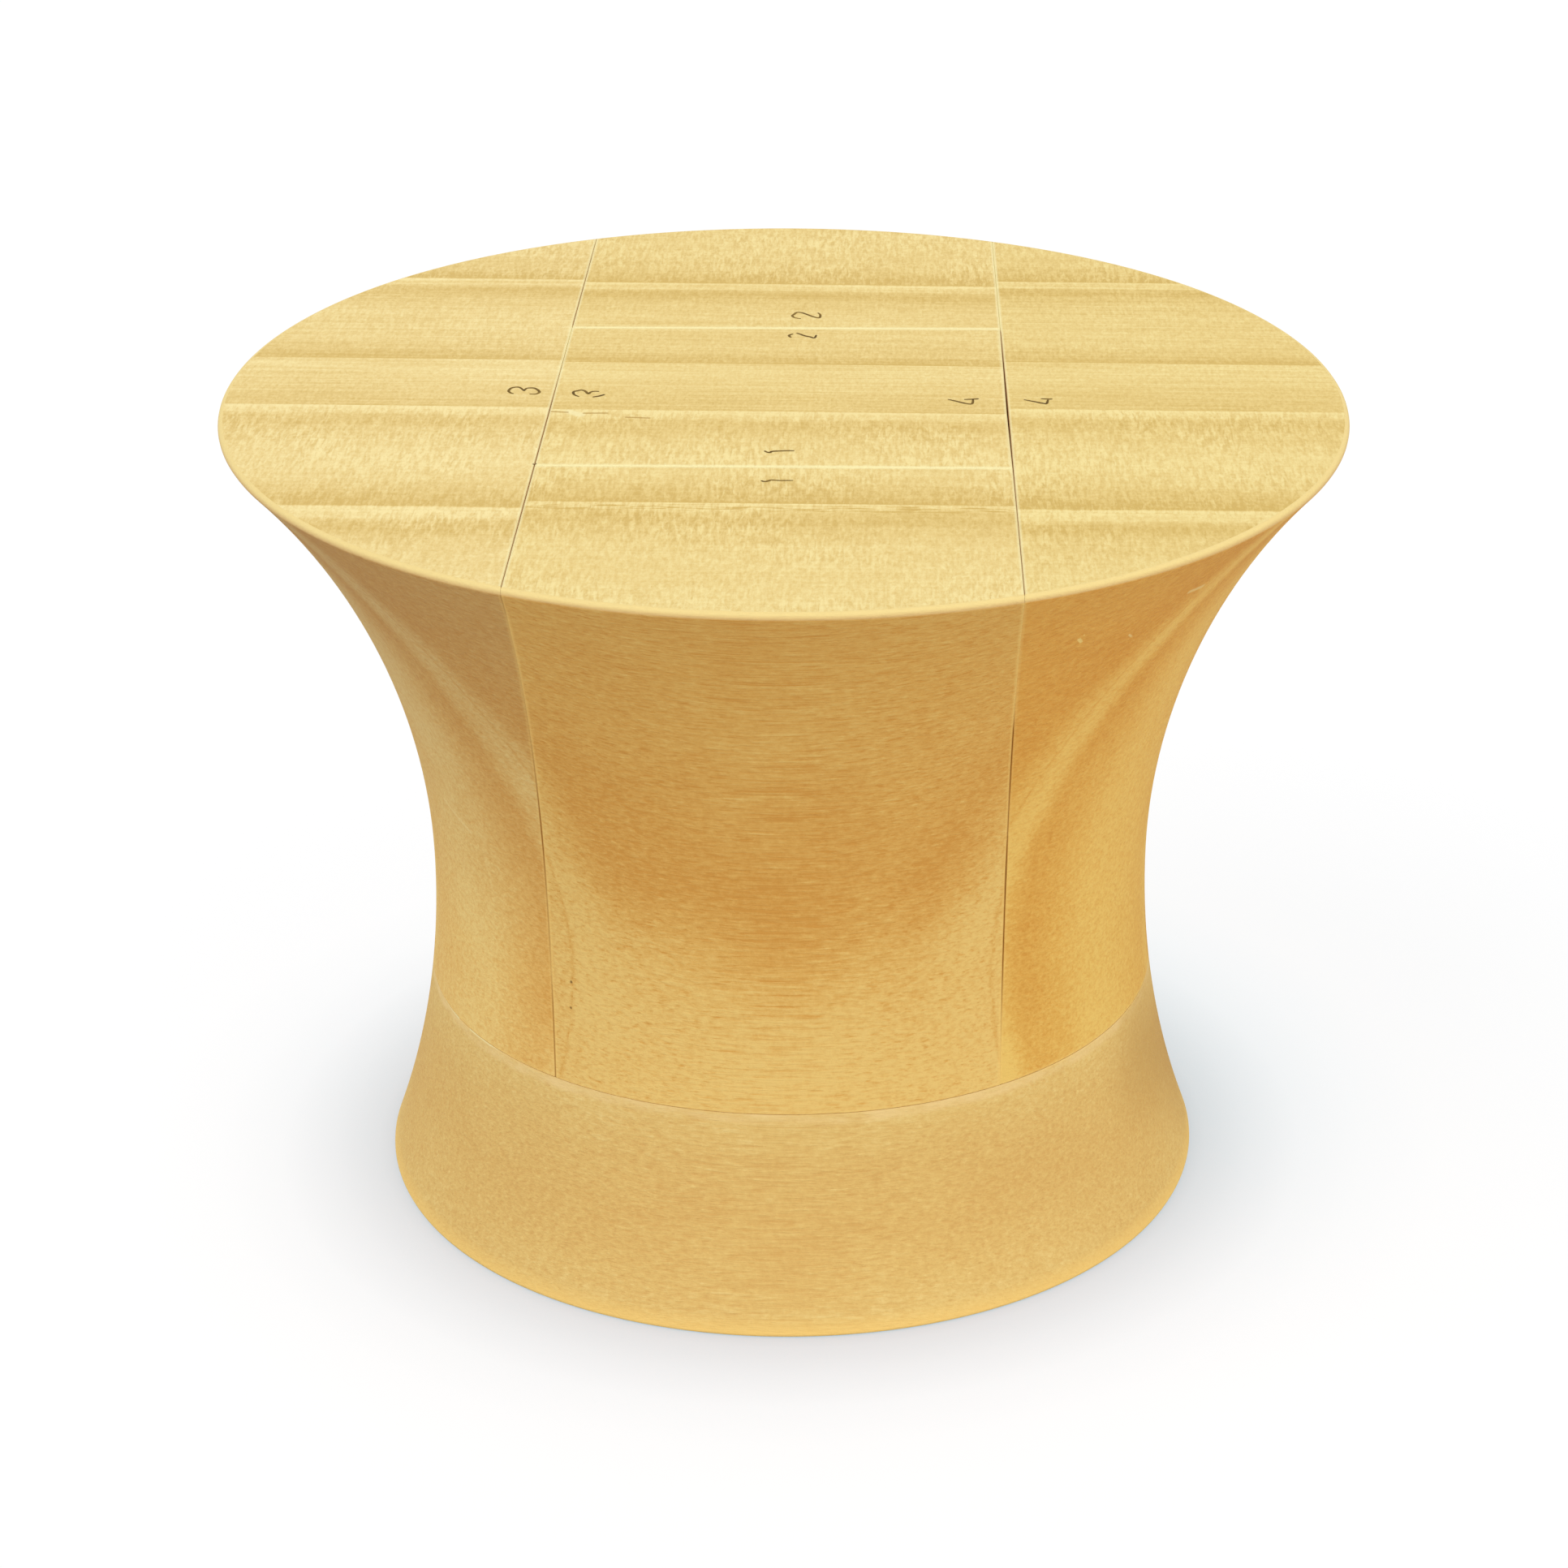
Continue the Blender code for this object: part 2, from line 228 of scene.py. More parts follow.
def whole_block():
    """The finished block before any cut, with the rounded foot marked as worn."""
    mesh = bmesh.new()
    worn = mesh.verts.layers.float.new("wear")
    # Share of painted shade beside open cuts, filled in where the cuts are cut.
    mesh.verts.layers.float.new("painted_gap_shade")
    turns = turns_round(OVAL_SIDES)
    rings = [[mesh.verts.new(oval_point(half_length, z, turn)) for turn in turns]
             for half_length, z in side_outline()]
    for ring in rings[1:FOOT_STEPS + 1]:
        for vertex in ring:
            vertex[worn] = FOOT_WEAR
    skin_rings(mesh, rings, SIDE, SAWN, TOP)
    return mesh


def side_cut(x, skew, side, stand_back):
    """Plane of a left-right saw cut: side is 1 to keep what lies at larger x, -1 for smaller x."""
    normal = Vector((side, -side * skew, 0)).normalized()
    return Vector((x, 0, 0)) + normal * stand_back, normal


def depth_cut(y, skew, side, stand_back):
    """Plane of a front-back cut: side is 1 to keep what lies at larger y, -1 for smaller y."""
    normal = Vector((-side * skew, side, 0)).normalized()
    return Vector((0, y, 0)) + normal * stand_back, normal


def level_cut(z, side):
    """Level plane: side is 1 to keep what lies above it, -1 for what lies below."""
    return Vector((0, 0, z)), Vector((0, 0, side))


def piece_cuts():
    """Sawn planes of each piece."""
    standing = level_cut(BASE_HEIGHT + SEAM_GAP, 1)
    between = [standing, side_cut(LEFT_CUT, LEFT_SKEW, 1, SIDE_STAND_BACK),
               side_cut(RIGHT_CUT, RIGHT_SKEW, -1, SIDE_STAND_BACK)]
    return {
        "base": [level_cut(BASE_HEIGHT, -1)],
        "left": [standing, side_cut(LEFT_CUT, LEFT_SKEW, -1, SIDE_STAND_BACK)],
        "right": [standing, side_cut(RIGHT_CUT, RIGHT_SKEW, 1, SIDE_STAND_BACK)],
        "back": [*between, depth_cut(KEY_BACK_CUT, KEY_BACK_SKEW, 1, DEPTH_STAND_BACK)],
        "front": [*between, depth_cut(KEY_FRONT_CUT, KEY_FRONT_SKEW, -1, DEPTH_STAND_BACK)],
        "key": [standing, side_cut(LEFT_CUT, LEFT_SKEW, 1, SIDE_STAND_BACK),
                side_cut(RIGHT_CUT, RIGHT_SKEW, -1, KEY_RIGHT_STAND_BACK),
                depth_cut(KEY_BACK_CUT, KEY_BACK_SKEW, -1, DEPTH_STAND_BACK),
                depth_cut(KEY_FRONT_CUT, KEY_FRONT_SKEW, 1, DEPTH_STAND_BACK)],
    }


def glue_lines(piece):
    """Depth of the back and the front glue line of each board, halfway between neighbouring solids."""
    names = [f"{piece}_{place}_board" for place, _ in PIECE_BOARDS[piece]]
    shared = [(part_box(behind)[0].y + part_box(before)[1].y) / 2 for behind, before in zip(names, names[1:])]
    return list(zip([None, *shared], [*shared, None]))


def kind_of(cut):
    _, normal = cut
    if abs(normal.z) > 0.5:
        return "level"
    return "depth" if abs(normal.y) > 0.5 else "side"


def height_over(cut, place):
    """How far a place lies inside a cut's plane."""
    point, normal = cut
    return (place - point).dot(normal)


def bisect(mesh, point, normal, clear=False):
    everything = [*mesh.verts, *mesh.edges, *mesh.faces]
    bmesh.ops.bisect_plane(mesh, geom=everything, dist=SNAP, plane_co=point, plane_no=normal,
                           clear_inner=clear)


def clip(mesh, cut):
    """Keep what lies inside the plane, and close the cut face."""
    bisect(mesh, *cut, clear=True)
    open_edges = [edge for edge in mesh.edges if edge.is_boundary]
    closed = bmesh.ops.holes_fill(mesh, edges=open_edges, sides=0)
    for face in closed["faces"]:
        face.material_index = SAWN


def score(mesh, cut, inset):
    """Add an edge all round, a little inside a cut face."""
    point, normal = cut
    bisect(mesh, point + normal * inset, normal)


def share_of(span, value):
    """How far a value lies from the start to the end of a span, held from 0 to 1."""
    start, end = span
    return min(max((value - start) / (end - start), 0), 1)


def from_table(table, place):
    """Value at a place in a table of (place, value) pairs, straight between them."""
    for (start, low), (end, high) in zip(table, table[1:]):
        if place <= end:
            return low + share_of((start, end), place) * (high - low)
    return table[-1][1]


def side_gap(cut, place):
    """Width in millimetres of a side cut at a place."""
    side = "left" if cut[0].x < 0 else "right"
    if place.z > HEIGHT - RIM_RADIUS:
        return from_table(TOP_GAPS[side], place.y / MM)
    if place.y > 0:
        return BACK_GAP
    return from_table(FRONT_GAPS[side], place.z / MM)


def closing_moves(mesh, sawn):
    """How a board's side faces move towards their neighbours where a side cut is narrow.

    The arrises are marked with painted shade where a side cut is wide, as if shade fell into the open cut.
    """
    painted_gap_shade = mesh.verts.layers.float["painted_gap_shade"]
    moves = []
    for cut in sawn:
        if kind_of(cut) != "side":
            continue
        point, normal = cut
        widest = abs(point.x - (LEFT_CUT if point.x < 0 else RIGHT_CUT))
        for vertex in mesh.verts:
            distance = height_over(cut, vertex.co)
            if distance > ARRIS_RADIUS + ON_SKIN:
                continue
            gap = side_gap(cut, vertex.co)
            outer = min(gap * MM / 2, SIDE_STAND_BACK)
            stand = outer if point.x * normal.x > 0 else gap * MM - outer
            moves.append((vertex, -normal * max(widest - stand, 0)))
            # Painted shade beside the open cut, fuller where the cut is wider.
            near = share_of((GAP_SHADE_REACH, 0), distance)
            vertex[painted_gap_shade] = max(vertex[painted_gap_shade], share_of(SHADED_GAPS, gap) * near)
    return moves


def wear_arrises(mesh, skin, sawn, glued):
    """Round the arrises where the outer skin meets sawn faces, without leaving any cut's plane.

    The wear is full on the arris, WORN_AT_RADIUS where the rounding ends and 0 at WORN_WIDTH.
    """
    worn = mesh.verts.layers.float["wear"]
    for vertex in mesh.verts:
        if vertex.co.z > HEIGHT - ON_SKIN:
            normal = Vector((0, 0, 1))
        else:
            _, normal, _, gap = skin.find_nearest(vertex.co)
            if gap > ON_SKIN:
                continue
        nearest = min(sawn, key=lambda cut: height_over(cut, vertex.co))
        distance = max(height_over(nearest, vertex.co), 0)
        if distance > ARRIS_RADIUS + ON_SKIN:
            continue
        inward = -normal
        for cut in [*sawn, *glued]:
            if abs(height_over(cut, vertex.co)) < ON_SKIN:
                inward -= inward.dot(cut[1]) * cut[1]
        reach = max(ARRIS_RADIUS - distance, 0)
        drop = ARRIS_RADIUS - math.sqrt(ARRIS_RADIUS ** 2 - reach ** 2)
        vertex.co += inward * drop / max(inward.dot(-normal), LEAST_INWARD)
        wear = WORN_AT_RADIUS + (1 - WORN_AT_RADIUS) * reach / ARRIS_RADIUS
        strength = ARRIS_WEAR[kind_of(nearest)]
        if kind_of(nearest) == "level":
            strength += (END_WEAR - strength) * share_of(END_WEAR_REACH, abs(vertex.co.x))
        vertex[worn] = max(vertex[worn], wear * strength)


def add_turned(mesh, centre, profile, kind):
    """Add a round upright solid to a mesh, from (radius, z) pairs, lowest first."""
    turns = turns_round(ROUND_SIDES)
    rings = []
    for radius, z in profile:
        rings.append([mesh.verts.new((centre[0] + radius * math.cos(turn),
                                      centre[1] + radius * math.sin(turn), z)) for turn in turns])
    skin_rings(mesh, rings, kind, kind, kind)


def new_object(name, mesh):
    """Turn a mesh in the object's own coordinates into an object at the origin."""
    bmesh.ops.recalc_face_normals(mesh, faces=mesh.faces)
    data = bpy.data.meshes.new(name)
    mesh.to_mesh(data)
    mesh.free()
    data.shade_smooth()
    data.set_sharp_from_angle(angle=SHARP_ANGLE)
    item = bpy.data.objects.new(name, data)
    bpy.context.scene.collection.objects.link(item)
    return item


def keep_glue_edges_sharp(data, glued):
    """Mark the edges of the flat faces at the glue lines as sharp, at whatever angle they meet the skin."""
    for edge in data.edges:
        ends = [data.vertices[index].co for index in edge.vertices]
        if any(all(abs(height_over(cut, end)) < 2 * ON_SKIN for end in ends) for cut in glued):
            edge.use_edge_sharp = True


def dowel_boxes():
    return {name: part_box(name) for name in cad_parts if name.startswith("dowel_")}


def hole_cutter(profile_of):
    """Cutter for the dowels' holes, where profile_of gives one hole's (radius, z) pairs."""
    mesh = bmesh.new()
    for low, high in dowel_boxes().values():
        radius = (high.x - low.x) / 2
        add_turned(mesh, (low + high) / 2, profile_of(radius, low.z, high.z), SAWN)
    return mesh


def crown_cutter():
    """Sockets in the crown pieces' undersides."""
    def profile(radius, _, high):
        wide = radius + DOWEL_FIT
        return [(wide, CROWN_FOOT - SOCKET_RUN_OUT), (wide, high + SOCKET_END_GAP)]
    return new_object("crown_sockets", hole_cutter(profile))


def base_cutter():
    """Holes that the dowels are glued into, and the spindle's socket in the underside."""
    def profile(radius, low, high):
        wide = radius + DOWEL_GLUE
        return [(wide, low - HOLE_END_GAP), (wide, high)]
    mesh = hole_cutter(profile)
    spindle = [(SPINDLE_RADIUS, -SPINDLE_DEPTH), (SPINDLE_RADIUS, SPINDLE_DEPTH)]
    add_turned(mesh, (0, 0), spindle, SAWN)
    return new_object("base_holes", mesh)


def bake_modifiers(item):
    """Replace an object's mesh by its mesh with the modifiers applied."""
    evaluated = item.evaluated_get(bpy.context.evaluated_depsgraph_get())
    data = bpy.data.meshes.new_from_object(evaluated)
    item.modifiers.clear()
    item.data = data


def make_board(block, skin, piece, place, sawn, lines, woods, cutter):
    """One board, cut from the block, with worn arrises and its holes."""
    glued = [depth_cut(line, 0, side, 0) for line, side in zip(lines, (-1, 1)) if line is not None]
    mesh = block.copy()
    for cut in [*sawn, *glued]:
        clip(mesh, cut)
    for cut in sawn:
        score(mesh, cut, WORN_WIDTH[kind_of(cut)])
        for inset in ARRIS_EDGES:
            score(mesh, cut, inset)
    if piece in ("left", "right"):
        for y in KEY_CORNER_SCORES:
            score(mesh, depth_cut(y, 0, 1, 0), 0)
    moves = closing_moves(mesh, sawn)
    wear_arrises(mesh, skin, sawn, glued)
    for vertex, move in moves:
        vertex.co += move
    item = new_object(f"{piece}_{place}", mesh)
    keep_glue_edges_sharp(item.data, glued)
    for wood in woods:
        item.data.materials.append(wood)
    holes = item.modifiers.new("holes", "BOOLEAN")
    holes.operation = "DIFFERENCE"
    holes.solver = "EXACT"
    holes.object = cutter
    level = item.modifiers.new("level", "WEIGHTED_NORMAL")
    level.keep_sharp = True
    bpy.context.view_layer.update()
    bake_modifiers(item)
    return item


# Wood


def linear(red, green, blue):
    """Scene colour of an sRGB colour given from 0 to 255."""
    def channel(value):
        share = value / 255
        return share / 12.92 if share <= 0.04045 else ((share + 0.055) / 1.055) ** 2.4
    return (channel(red), channel(green), channel(blue), 1.0)


class Graph:
    """Builds the nodes of one material with short calls."""

    def __init__(self, name, seed=0.0):
        self.seed = seed
        self.material = bpy.data.materials.new(name)
        self.material.use_nodes = True
        self.tree = self.material.node_tree
        self.shader = self.tree.nodes["Principled BSDF"]
        # Place in the object's own coordinates, in millimetres.
        place = self.node("ShaderNodeTexCoord", {}).outputs["Object"]
        self.here = self.vector("SCALE", {0: place, 3: 1 / MM})

    def put(self, socket, value):
        """Link a socket to an output, or give it a value."""
        if isinstance(value, bpy.types.NodeSocket):
            self.tree.links.new(value, socket)
        else:
            socket.default_value = value

    def node(self, kind, inputs, **settings):
        node = self.tree.nodes.new(kind)
        for name, value in settings.items():
            setattr(node, name, value)
        for key, value in inputs.items():
            self.put(node.inputs[key], value)
        return node

    def math(self, operation, *values):
        return self.node("ShaderNodeMath", dict(enumerate(values)), operation=operation).outputs[0]

    def add(self, *values):
        total = values[0]
        for value in values[1:]:
            total = self.math("ADD", total, value)
        return total

    def less(self, first, second):
        return self.math("SUBTRACT", first, second)

    def times(self, first, second):
        return self.math("MULTIPLY", first, second)

    def spread(self, value, low, high, to_low=0.0, to_high=1.0, smooth=False):
        """Map a range of values to another, and hold its ends."""
        inputs = {0: value, 1: low, 2: high, 3: to_low, 4: to_high}
        kind = "SMOOTHSTEP" if smooth else "LINEAR"
        return self.node("ShaderNodeMapRange", inputs, interpolation_type=kind).outputs[0]

    def mix(self, share, first, second, blend="MIX"):
        inputs = {0: share, 6: first, 7: second}
        return self.node("ShaderNodeMix", inputs, data_type="RGBA", blend_type=blend).outputs[2]

    def vector(self, operation, inputs):
        """Vector or number from an operation on vectors."""
        outputs = self.node("ShaderNodeVectorMath", inputs, operation=operation).outputs
        return outputs[1 if operation in ("DOT_PRODUCT", "DISTANCE", "LENGTH") else 0]

    def attribute(self, name):
        return self.node("ShaderNodeAttribute", {}, attribute_name=name).outputs["Fac"]

    def grain(self, name):
        """One of the noises in GRAINS, from -1 to 1."""
        sizes, step, detail, roughness, twist = GRAINS[name]
        scale = [1 / size for size in sizes]
        shift = [(self.seed + step) * share for share in SEED_SHARES]
        inputs = {"Vector": self.vector("MULTIPLY_ADD", {0: self.here, 1: scale, 2: shift}),
                  "Scale": 1.0, "Detail": detail, "Roughness": roughness, "Distortion": twist}
        value = self.node("ShaderNodeTexNoise", inputs).outputs[0]
        return self.spread(value, *NOISE_RANGE, -1.0, 1.0)

    def near(self, start, end, core, edge):
        """1 near the line between two points, falling from the core's distance to 0 at the edge's."""
        along = Vector(end) - Vector(start)
        from_start = self.vector("SUBTRACT", {0: self.here, 1: start})
        share = self.vector("DOT_PRODUCT", {0: from_start, 1: along / along.length_squared})
        foot = self.vector("SCALE", {0: along, 3: self.spread(share, 0.0, 1.0)})
        gap = self.vector("DISTANCE", {0: from_start, 1: foot})
        return self.spread(gap, core, edge, 1.0, 0.0, smooth=True)

    def ramp(self, value, stops):
        """Colour or tone ramp from (position, colour) pairs."""
        node = self.node("ShaderNodeValToRGB", {0: value})
        elements = node.color_ramp.elements
        while len(elements) < len(stops):
            elements.new(0.5)
        for element, (position, _) in zip(elements, stops):
            element.position = position
        for element, (position, colour) in zip(elements, stops):
            element.position = position
            element.color = colour
        return node.outputs[0]

    def from_tones(self, value, tones):
        """Tone from a table of (place, tone) pairs that begins at 0."""
        reach = tones[-1][0]
        stops = [(place / reach, (tone, tone, tone, 1.0)) for place, tone in tones]
        return self.ramp(self.spread(value, 0.0, reach), stops)

    def finish(self, colour, roughness, relief, bump_strength, bump_depth):
        """Lead colour, roughness and relief to the shader."""
        inputs = {"Strength": bump_strength, "Distance": bump_depth, "Height": relief}
        bump = self.node("ShaderNodeBump", inputs)
        self.put(self.shader.inputs["Base Color"], colour)
        self.put(self.shader.inputs["Roughness"], roughness)
        self.put(self.shader.inputs["Normal"], bump.outputs[0])
        return self.material


# How light each layer's wood is, from 0 to 1, by its distance in millimetres from its glue line: the back
# layer is measured backwards from its front line, the others forwards from their back line.
TOP_TONES = {
    "back": [(0, 0.08), (2, 0.16), (5, 0.32), (9, 0.46), (15, 0.54), (24, 0.6), (42, 0.58)],
    "back_inner": [(0, 0.8), (1.2, 0.86), (2.0, 0.6), (4, 0.66), (5.5, 0.3), (8, 0.16), (11, 0.3),
                   (15, 0.48), (22, 0.6), (30, 0.56), (40, 0.54), (45, 0.46), (48.5, 0.26), (51.5, 0.08)],
    "middle": [(0, 0.66), (2, 0.62), (6, 0.7), (11, 0.62), (17, 0.5), (23, 0.41), (27.4, 0.37)],
    "front_inner": [(0, 0.92), (1.2, 0.9), (2, 0.72), (4, 0.7), (5.5, 0.38), (9, 0.34), (14, 0.54),
                    (27, 0.74), (35, 0.68), (42, 0.5), (47, 0.28), (51.5, 0.12)],
    "front": [(0, 0.96), (1, 0.9), (2, 0.74), (3.5, 0.76), (5.5, 0.36), (9, 0.26), (13, 0.48), (22, 0.64),
              (48, 0.72)],
}
SIDE_TONES = {
    "back": [(0, 0.2), (5, 0.26), (10, 0.34), (24, 0.44), (42, 0.46)],
    "back_inner": [(0, 0.8), (4, 0.7), (8, 0.3), (20, 0.45), (40, 0.45), (51.5, 0.2)],
    "middle": [(0, 0.66), (6, 0.6), (17, 0.48), (27.4, 0.42)],
    "front_inner": [(0, 0.74), (51.5, 0.78)],
    "front": [(0, 0.9), (3, 0.88), (5.5, 0.74), (8.3, 0.4), (11, 0.2), (17, 0.34), (26, 0.48),
              (45, 0.44)],
}
# On the flanks the light front layer begins a little behind its glue line, after a darker band.
FLANK_BACK = [(0, 0.8), (4, 0.8), (8, 0.62), (15, 0.66), (30, 0.84), (36, 0.76)]
FLANK_TONES = {
    ("left", "front_inner"): [
        *FLANK_BACK, (41, 0.48), (45, 0.26), (47.5, 0.2), (49.8, 0.56), (51.8, 0.68), (54.3, 0.72)],
    ("left", "front"): [
        (0, 0.72), (1.5, 0.56), (3.5, 0.26), (6, 0.15), (11, 0.22), (24, 0.36), (45, 0.42)],
    ("right", "front_inner"): [
        *FLANK_BACK, (41, 0.56), (45.2, 0.4), (47.5, 0.3), (49.4, 0.56), (51.0, 0.88), (52.6, 0.94),
        (54.3, 0.84)],
    ("right", "front"): [
        (0, 0.78), (1.5, 0.6), (3.5, 0.36), (6, 0.2), (9, 0.23), (14, 0.34), (24, 0.4), (45, 0.44)],
}
# Lightness of the base's wood by its height in millimetres.
BASE_TONES = [(0, 0.56), (6, 0.51), (14, 0.39), (26, 0.27), (38, 0.35), (50, 0.56), (53.4, 0.61)]
# Where the flanks' front inner layer ends on the top, it is dark and then light.
FLANK_TOP_STOPS = [(52.2, 0.12), (52.9, 0.9), (54.3, 0.96)]

# Noises: grain sizes along X, Y and Z in millimetres, seed step, detail, roughness and twist.
GRAINS = {
    "wobble": ((45, 30, 30), 0, 3, 0.5, 0.0),
    "clouds": ((30, 20, 24), 5, 3, 0.5, 0.0),
    "streaks": ((80, 3.0, 3.0), 2, 2, 0.5, 0.0),
    "dashes": ((7.5, 0.70, 0.70), 6, 3, 0.7, 0.0),
    "peel": ((1.7, 1.3, 1.3), 7, 3, 0.7, 0.0),
    "lines": ((34, 0.62, 0.62), 8, 2, 0.5, 0.0),
    "strokes": ((0.75, 4.0, 4.0), 3, 2, 0.5, 0.5),
    "along": ((48, 1.0, 1.0), 1, 4, 0.7, 0.0),
    "fuzz": ((0.85, 1.3, 1.3), 4, 2, 0.7, 0.5),
    "tears": ((7.0, 0.7, 0.7), 9, 2, 0.5, 0.0),
    "patches": ((7.0, 5.0, 2.0), 10, 3, 0.5, 0.0),
    "pencil_breaks": ((0.5, 0.5, 0.5), 2, 2, 0.5, 0.0),
    "pencil_pressure": ((4, 4, 4), 7, 2, 0.5, 0.0),
    "dowel_grain": ((0.5, 0.5, 14), 5, 3, 0.6, 0.0),
    "dowel_shade": ((3, 3, 30), 9, 2, 0.5, 0.0),
}
# How far a seed moves a noise along X, Y and Z, and the part of a noise's values that is used.
SEED_SHARES = (1.0, 1.7, 2.3)
NOISE_RANGE = (0.25, 0.75)
LAYER_SEEDS = {layer: 3.1 + 7.7 * index for index, layer in enumerate(LAYERS)}
PIECE_SEEDS = {piece: 0.41 * index for index, piece in enumerate(PIECE_BOARDS)}

# How much each noise changes the lightness, and the peel's part in the relief.
DASHES, PEEL, PEEL_RELIEF = 0.30, 0.26, 0.5
STROKES, ALONG, FUZZ = 0.30, 0.24, 0.26
CLOUDS = {TOP: 0.06, SIDE: 0.10, SAWN: 0.06}
STREAKS = {TOP: 0.06, SIDE: 0.05, SAWN: 0.06}
# How far the wobble moves the layers' bands in millimetres, and how much of it shows on the base.
WOBBLE = 0.8
BASE_WOBBLE = 0.05

# Ranges of a noise, and what they turn into: ripple and its strength, long lines, glue lines and tears.
RIPPLE_RANGE = (-0.6, 0.6, -0.8, 0.8)
RIPPLE_CLOUDS = (-0.6, 0.6, 0.5, 1.4)
DARK_LINE_RANGE = (0.30, 0.9)
DARK_LINE = -0.50
LIGHT_LINE_RANGE = (-0.9, -0.40)
LIGHT_LINE = 0.30
GLUE_SHADE = (0.08, 0.45, -0.40, 0.0)
GLUE_BREAKS = (-0.6, 0.6, 0.1, 1.0)
TORN_FROM = (0.5, 1.2, 0.0, 1.0)
TORN_TO = (3.2, 4.4, 1.0, 0.0)
TORN_SHADE = (0.0, 0.45, 0.0, -0.75)

# How strongly each layer shows ripple figure across the grain, and fine lines along it.
RIPPLE = {"back": 1.0, "back_inner": 0.45, "middle": 0.30, "front_inner": 1.0, "front": 0.95}
LINES = {"back": 0.5, "back_inner": 1.0, "middle": 1.2, "front_inner": 0.5, "front": 0.5}
SIDE_LINES = {"base": 0.75, "left": 0.45, "right": 0.45, "back": 1.0, "front": 1.0, "key": 1.0}

# Below this level the front layers bend forwards, by (BEND_LEVEL - z) squared over BEND_RADIUS.
BEND_LEVEL = 140.0
BEND_RADIUS = 680.0
LEAST_AWAY = 0.5
# Towards the front piece's two cuts its light band grows narrower, by up to NARROWING.
NARROWING_REACH = (15.0, 38.0)
NARROWING_LEVEL = (142.0, 112.0)
NARROWING_ABOVE = 0.35
NARROWING = 4.2
# Where the flanks' front layers meet the front cut and the level seam, the light wood comes back.
CORNER_REACH = (50.0, 65.0)
CORNER_LEVEL = (55.0, 73.0)
CORNER_LIGHT = 0.36

# The sides are darker and more orange than the top: partly the wood's own colour there, partly painted shade,
# as the sides face away from the light above.
TOP_COLOURS = ((219, 185, 103), (238, 209, 134), (252, 231, 162))
SIDE_COLOURS = ((224, 163, 78), (236, 186, 101), (246, 208, 126))
BASE_COLOURS = ((226, 178, 102), (236, 196, 118), (246, 214, 140))
SAWN_COLOURS = ((226, 174, 96), (238, 194, 118), (246, 210, 138))
WORN_TOP = (255, 245, 188)
WORN_SIDE = (255, 214, 126)
SIDE_WEAR = {"base": 0.95, "left": 0.6, "right": 0.55, "back": 0.6, "front": 0.95, "key": 0.6}
# Brown painted shade on the arrises beside an open cut, on the top and the side.
GAP_SHADE_COLOUR = (172, 102, 8)
GAP_SHADE_SHARE = {TOP: 0.65, SIDE: 1.0}
WOOD_ROUGHNESS = (0.56, 0.68)
WOOD_SPECULAR = 0.18
WOOD_BUMPS = {TOP: 0.6, SIDE: 0.9, SAWN: 0.6}
WOOD_BUMP_DEPTH = 0.00006

# Painted highlight on the rounded rim of the crown: its two colours, and the levels that they belong to.
RIM_HIGHLIGHT_LOW = (232, 190, 124)
RIM_HIGHLIGHT_HIGH = (246, 220, 148)
RIM_HIGHLIGHT_SHARE = 0.8
RIM_HIGHLIGHT_LEVEL = (196.9, 198.2)
RIM_HIGHLIGHT_START = (196.65, 197.05)
RIM_HIGHLIGHT_WOBBLE = 0.2

# Paler, slightly rubbed band of the base, just under the level seam.
RUBBED_BAND = (50.2, 52.2)
RUBBED_WOBBLE = 0.6
RUBBED_PATCHES = (-0.8, 0.9, 0.15, 0.95)
RUBBED_COLOUR = (250, 216, 148)

